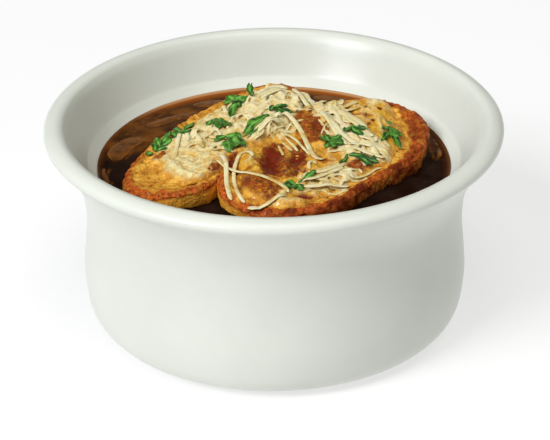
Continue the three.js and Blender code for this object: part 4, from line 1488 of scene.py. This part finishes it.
def bridged(tops, route, above):
    """A plan route laid over the heap like a soft strand, straight across its hollows."""
    points = np.array(smooth_outline(route, 5))
    x, y = points.T
    beside = ((0, 0), (0.6, 0), (-0.6, 0), (0, 0.6), (0, -0.6))
    ground = np.max([tops(x + dx, y + dy) for dx, dy in beside], axis=0) + above
    height = ground.copy()
    for _ in range(14):
        height[1:-1] = np.maximum(ground[1:-1], (height[:-2] + height[2:]) / 2)
    return np.column_stack([x, y, height])[::3]


def fused_mound(drift):
    """The mass that the shreds of a drift melted into: a ragged low mound under them."""
    mound = disc_grid("mound_model", 60, 50)
    co = places(mound)
    radius, angle = polar(co)
    ragged = 0.9 + 0.16 * rough(flat(2 * np.cos(angle), 2 * np.sin(angle)), 0.8, drift.shreds)
    x, y = drift.outline.spread(co, ragged)
    rounded = np.sqrt(1 - np.minimum(radius, 1) ** 4)
    height = cheese_height(x, y) - 0.3 + rounded * (0.75 * drift_height(x, y) + 0.3)
    put(mound, np.column_stack([x, y, height]))
    apply_modifier(mound, "SOLIDIFY", thickness=MOUND_WALL * MM, offset=-1, use_rim=True)
    return mound


def random_shred(rng, drift, tops):
    """A loose shred on a drift, curved its own way: its line and width."""
    mound = drift.outline
    share = math.sqrt(rng.random())
    around = 2 * math.pi * rng.random()
    x, y = mound.outside(
        mound.half_length * share * math.cos(around), mound.half_width * share * math.sin(around)
    )
    length = rng.uniform(5, 11)
    bend = rng.gauss(0, 0.9)
    heading = math.radians(rng.gauss(drift.heading, drift.spread))
    start = walk(x, y, [heading], -length / 2)[1]
    headings = [heading + bend * (step / 5 - 0.5) for step in range(5)]
    route = walk(*start, headings, length / 5)
    layer = 1.1 * (1 - share) * rng.random() + rng.uniform(-0.35, 0.1)
    lift = np.array([-0.35, 0.05, 0.2, 0.2, 0.05, -0.35]) * rng.uniform(0.2, 1.8)
    return laid(tops, route, layer + lift), rng.uniform(0.7, 1.9)


class SOUP_OT_shredded_cheese(bpy.types.Operator):
    """Scatters the shredded cheese: half-melted shreds on the drifts and the long strands"""

    bl_idname = "soup.shredded_cheese"
    bl_label = "Shredded cheese"

    def execute(self, context):
        rng = random.Random(SHRED_SEED)
        tops = top_finder(*BASE_PIECES)
        model = strip_model("shred_model", 14, 8)
        shreds = []
        for drift in DRIFTS:
            for _ in range(int(0.75 * drift.shreds)):
                line, width = random_shred(rng, drift, tops)
                twist = rng.uniform(-1.4, 1.4)
                shreds.append(bent_copy(model, line, width, SHRED_THICKNESS, twist))
        heap = joined("cheese_shreds", [*shreds, *map(fused_mound, DRIFTS)])
        apply_modifier(heap, "REMESH", mode="VOXEL", voxel_size=SHRED_VOXEL * MM)
        apply_modifier(heap, "SMOOTH", factor=0.5, iterations=2)
        co = places(heap)
        hidden = cheese_height(co[:, 0], co[:, 1]) - co[:, 2] > HIDDEN_DEPTH
        thin_out(heap, hidden, HEAP_FACES)
        discard(model)
        model = strip_model("strand_model", 50, 8)
        tops = top_finder(*BASE_PIECES, "cheese_shreds")
        strands = []
        for route, width in STRANDS:
            line = bridged(tops, route, STRAND_LIFT)
            twist = rng.uniform(-0.5, 0.5)
            strands.append(bent_copy(model, line, width, SHRED_THICKNESS, twist))
        discard(model)
        heap = joined("cheese_shreds", [heap, *strands])
        co = places(heap)
        put(heap, co + normals(heap) * (0.05 * rough(co, 1.1, 3))[:, None])
        # Shreds low on the sheet take the melted colour, and the gaps between shreds take it too as
        # painted shade.
        above = co[:, 2] - cheese_height(co[:, 0], co[:, 1])
        low = 1 - step_up(above + 0.5 * rough(co, 3.3, 61), 0.4, 1.4)
        gap_shade = step_up(hollowness(heap, 10), 0.0, 0.14)
        paint(heap, "melted", np.maximum(0.8 * low, gap_shade))
        paint(heap, "tint", 0.5 + 0.5 * rough(co, 2.6, 71, 2))
        finish_piece(heap, shred_material(), "shredded_cheese", "shredded_cheese")
        return {"FINISHED"}


def leaflet_model():
    """A flat leaflet of unit length along +X: pointed, toothed and folded at its rib."""
    model = start_piece(
        "leaflet_model", bpy.ops.mesh.primitive_grid_add, x_subdivisions=22, y_subdivisions=10,
        size=2 * MM,
    )
    co = places(model)
    along, across = (co[:, 0] + 1) / 2, co[:, 1]
    paint(model, "rib", 0.9 * near(across, 0, 0.17) * (1 - 0.6 * along))
    # Painted shade in the fold on each side of the rib.
    off_rib = step_up(np.abs(across), 0.25, 0.6) * (1 - step_up(np.abs(across), 0.6, 1))
    paint(model, "fold", 0.5 * off_rib)
    body = np.sin(math.pi * np.clip(along, 0.015, 0.985) ** 0.8) ** 0.75
    lobes = 0.72 + 0.28 * np.abs(np.cos(2.6 * math.pi * along))
    teeth = 1 + 0.1 * np.abs(across) * np.sin(22 * math.pi * along)
    half = 0.5 * body * lobes * teeth
    co[:, 0] = along + 0.1 * np.abs(across) * body
    co[:, 1] = across * half
    co[:, 2] = 0.16 * np.abs(across) * body
    put(model, co)
    return model


def grown_leaflet(model, rng, size, width, heading, start, stand):
    """A copy of the leaflet at its own size, curled and rippled its own way."""
    piece = copy_of(model)
    co = places(piece)
    along, across = co[:, 0], co[:, 1]
    size_of_waves, waves, start_of_waves = (rng.uniform(*r) for r in ((0.04, 0.08), (6, 9), (0, 6)))
    ripple = size_of_waves * np.sin(waves * along + 9 * across + start_of_waves)
    curl = rng.uniform(-0.25, 0.22) * along**2
    up = (co[:, 2] + ripple + curl) * size * 0.6 + across * width * rng.uniform(-0.3, 0.3)
    points = np.column_stack([along * size, across * width, up])
    turn = Matrix.Rotation(heading, 3, "Z") @ Matrix.Rotation(-stand, 3, "Y")
    put(piece, points @ np.array(turn.transposed()) + start)
    return piece


class SOUP_OT_parsley(bpy.types.Operator):
    """Tears parsley over the top: each bit a cluster of toothed leaflets"""

    bl_idname = "soup.parsley"
    bl_label = "Parsley"

    def execute(self, context):
        material = leaf_material()
        rng = random.Random(PARSLEY_SEED)
        model = leaflet_model()
        tops = top_finder(*BASE_PIECES, "cheese_shreds")
        for number, (x, y, heading, length, form, stand, shade) in enumerate(PARSLEY, 1):
            turn = math.radians(heading)
            stem = np.array([math.cos(turn), math.sin(turn), 0])
            leaflets = []
            for along, angle, size, width in LEAF_FORMS[form]:
                start = np.array([x, y, 0]) + stem * (along - 0.5) * length
                towards = turn + math.radians(angle + rng.uniform(-8, 8))
                rise = math.radians(stand + rng.uniform(-6, 12))
                leaflets.append(
                    grown_leaflet(model, rng, size * length, width * length, towards, start, rise)
                )
            leaf = joined(f"parsley_bit_{number:02d}", leaflets)
            co = places(leaf)
            middle = (co[:, :2].max(axis=0) + co[:, :2].min(axis=0)) / 2
            co[:, :2] += np.array([x, y]) - middle
            ground = tops(co[:, 0], co[:, 1]) + 0.15
            rest = 0.5 * ground + 0.5 * np.median(ground)
            co[:, 2] = np.maximum(co[:, 2] + rest, ground)
            put(leaf, co)
            paint(leaf, "shade", np.full(len(co), shade))
            apply_modifier(leaf, "SOLIDIFY", thickness=LEAF_THICKNESS * MM, offset=0, use_rim=True)
            apply_modifier(leaf, "SUBSURF", levels=1, render_levels=1)
            point_outwards(leaf)
            finish_piece(leaf, material, "parsley", f"parsley_{number:02d}")
        discard(model)
        return {"FINISHED"}


# ---- The stage ----


# Distances on the stage are in metres.
FLOOR_RADIUS = 4
FLOOR_SHARE = 0.42  # share of the floor's colour that answers to the light
FLOOR_GLOW = 0.6  # share of it that the floor gives off by itself
SKY_COLOUR = (0.85, 0.95, 1)
SKY_STRENGTH = 0.13
LIT_PLACE = Vector((0, 0, 0.05))
# The soft lights: place from what they light, side length, watts and colour.
LIGHTS = {
    "key": ((-1.56, -1.41, 1.77), 1.1, 60, (0.98, 1, 1.03)),
    "above": ((0.2, -0.5, 2.1), 1.6, 26, (1, 0.99, 0.9)),
}
CAMERA_TARGET = Vector((0.00016, 0, 0.02946))
CAMERA_ROLL = math.radians(-0.4528)


def soft_light(name, away, size, energy, colour):
    """A large soft area light pointed at the dish."""
    light = bpy.data.lights.new(name, "AREA")
    light.shape = "SQUARE"
    light.size = size
    light.energy = energy
    light.color = colour
    lamp = bpy.data.objects.new(name, light)
    bpy.context.scene.collection.objects.link(lamp)
    lamp.location = LIT_PLACE + Vector(away)
    lamp.rotation_euler = (LIT_PLACE - lamp.location).to_track_quat("-Z", "Y").to_euler()


class SOUP_OT_stage(bpy.types.Operator):
    """Sets the plain pale floor, the soft studio light and the camera"""

    bl_idname = "soup.stage"
    bl_label = "Stage"

    def execute(self, context):
        stage = settings().stage
        scene = context.scene
        floor = start_piece(
            "floor", bpy.ops.mesh.primitive_circle_add, vertices=64, radius=FLOOR_RADIUS,
            fill_type="NGON",
        )
        material = new_material(
            "floor", Roughness=0.9, Specular_IOR_Level=0.1, Emission_Strength=FLOOR_GLOW,
            Emission_Color=stage.floor, Base_Color=tinted(stage.floor, FLOOR_SHARE),
        )[0]
        floor.data.materials.append(material)

        world = bpy.data.worlds.new("studio")
        world.use_nodes = True
        background = world.node_tree.nodes["Background"]
        background.inputs["Color"].default_value = (*SKY_COLOUR, 1)
        background.inputs["Strength"].default_value = SKY_STRENGTH
        scene.world = world
        for name, values in LIGHTS.items():
            soft_light(name, *values)

        camera = bpy.data.objects.new("camera", bpy.data.cameras.new("camera"))
        scene.collection.objects.link(camera)
        camera.data.lens = stage.lens
        camera.data.sensor_width = 36
        away = Vector((0, -math.cos(stage.elevation), math.sin(stage.elevation)))
        camera.location = CAMERA_TARGET + away * stage.distance
        facing = (-away).to_track_quat("-Z", "Y").to_matrix().to_4x4()
        camera.rotation_euler = (facing @ Matrix.Rotation(CAMERA_ROLL, 4, "Z")).to_euler()
        camera.data.clip_start = 0.01
        scene.camera = camera
        scene.view_settings.view_transform = "Standard"
        scene.view_settings.look = "None"
        return {"FINISHED"}


PIECES = (
    SOUP_OT_stage, SOUP_OT_crock, SOUP_OT_broth, SOUP_OT_onions, SOUP_OT_toasts,
    SOUP_OT_melted_cheese, SOUP_OT_shredded_cheese, SOUP_OT_parsley,
)
GROUPS = (
    CrockSettings, BrothSettings, ToastSettings, CheeseSettings, ParsleySettings, StageSettings,
    SoupSettings,
)


class SOUP_PT_panel(bpy.types.Panel):
    """The dish's operators and settings in the sidebar"""

    bl_idname = "SOUP_PT_panel"
    bl_label = "Onion soup"
    bl_space_type = "VIEW_3D"
    bl_region_type = "UI"
    bl_category = "Onion soup"

    def draw(self, context):
        for operator in PIECES:
            self.layout.operator(operator.bl_idname)
        for group in SoupSettings.__annotations__:
            box = self.layout.box()
            box.label(text=group.title())
            values = getattr(context.scene.onion_soup, group)
            for name in type(values).__annotations__:
                box.prop(values, name)


def register():
    for group in (*GROUPS, *PIECES, SOUP_PT_panel):
        bpy.utils.register_class(group)
    bpy.types.Scene.onion_soup = PointerProperty(type=SoupSettings)


def unregister():
    del bpy.types.Scene.onion_soup
    for group in reversed((*GROUPS, *PIECES, SOUP_PT_panel)):
        bpy.utils.unregister_class(group)


def main():
    register()
    for operator in PIECES:
        getattr(bpy.ops.soup, operator.bl_idname.split(".")[1])()


if __name__ == "__main__":
    main()
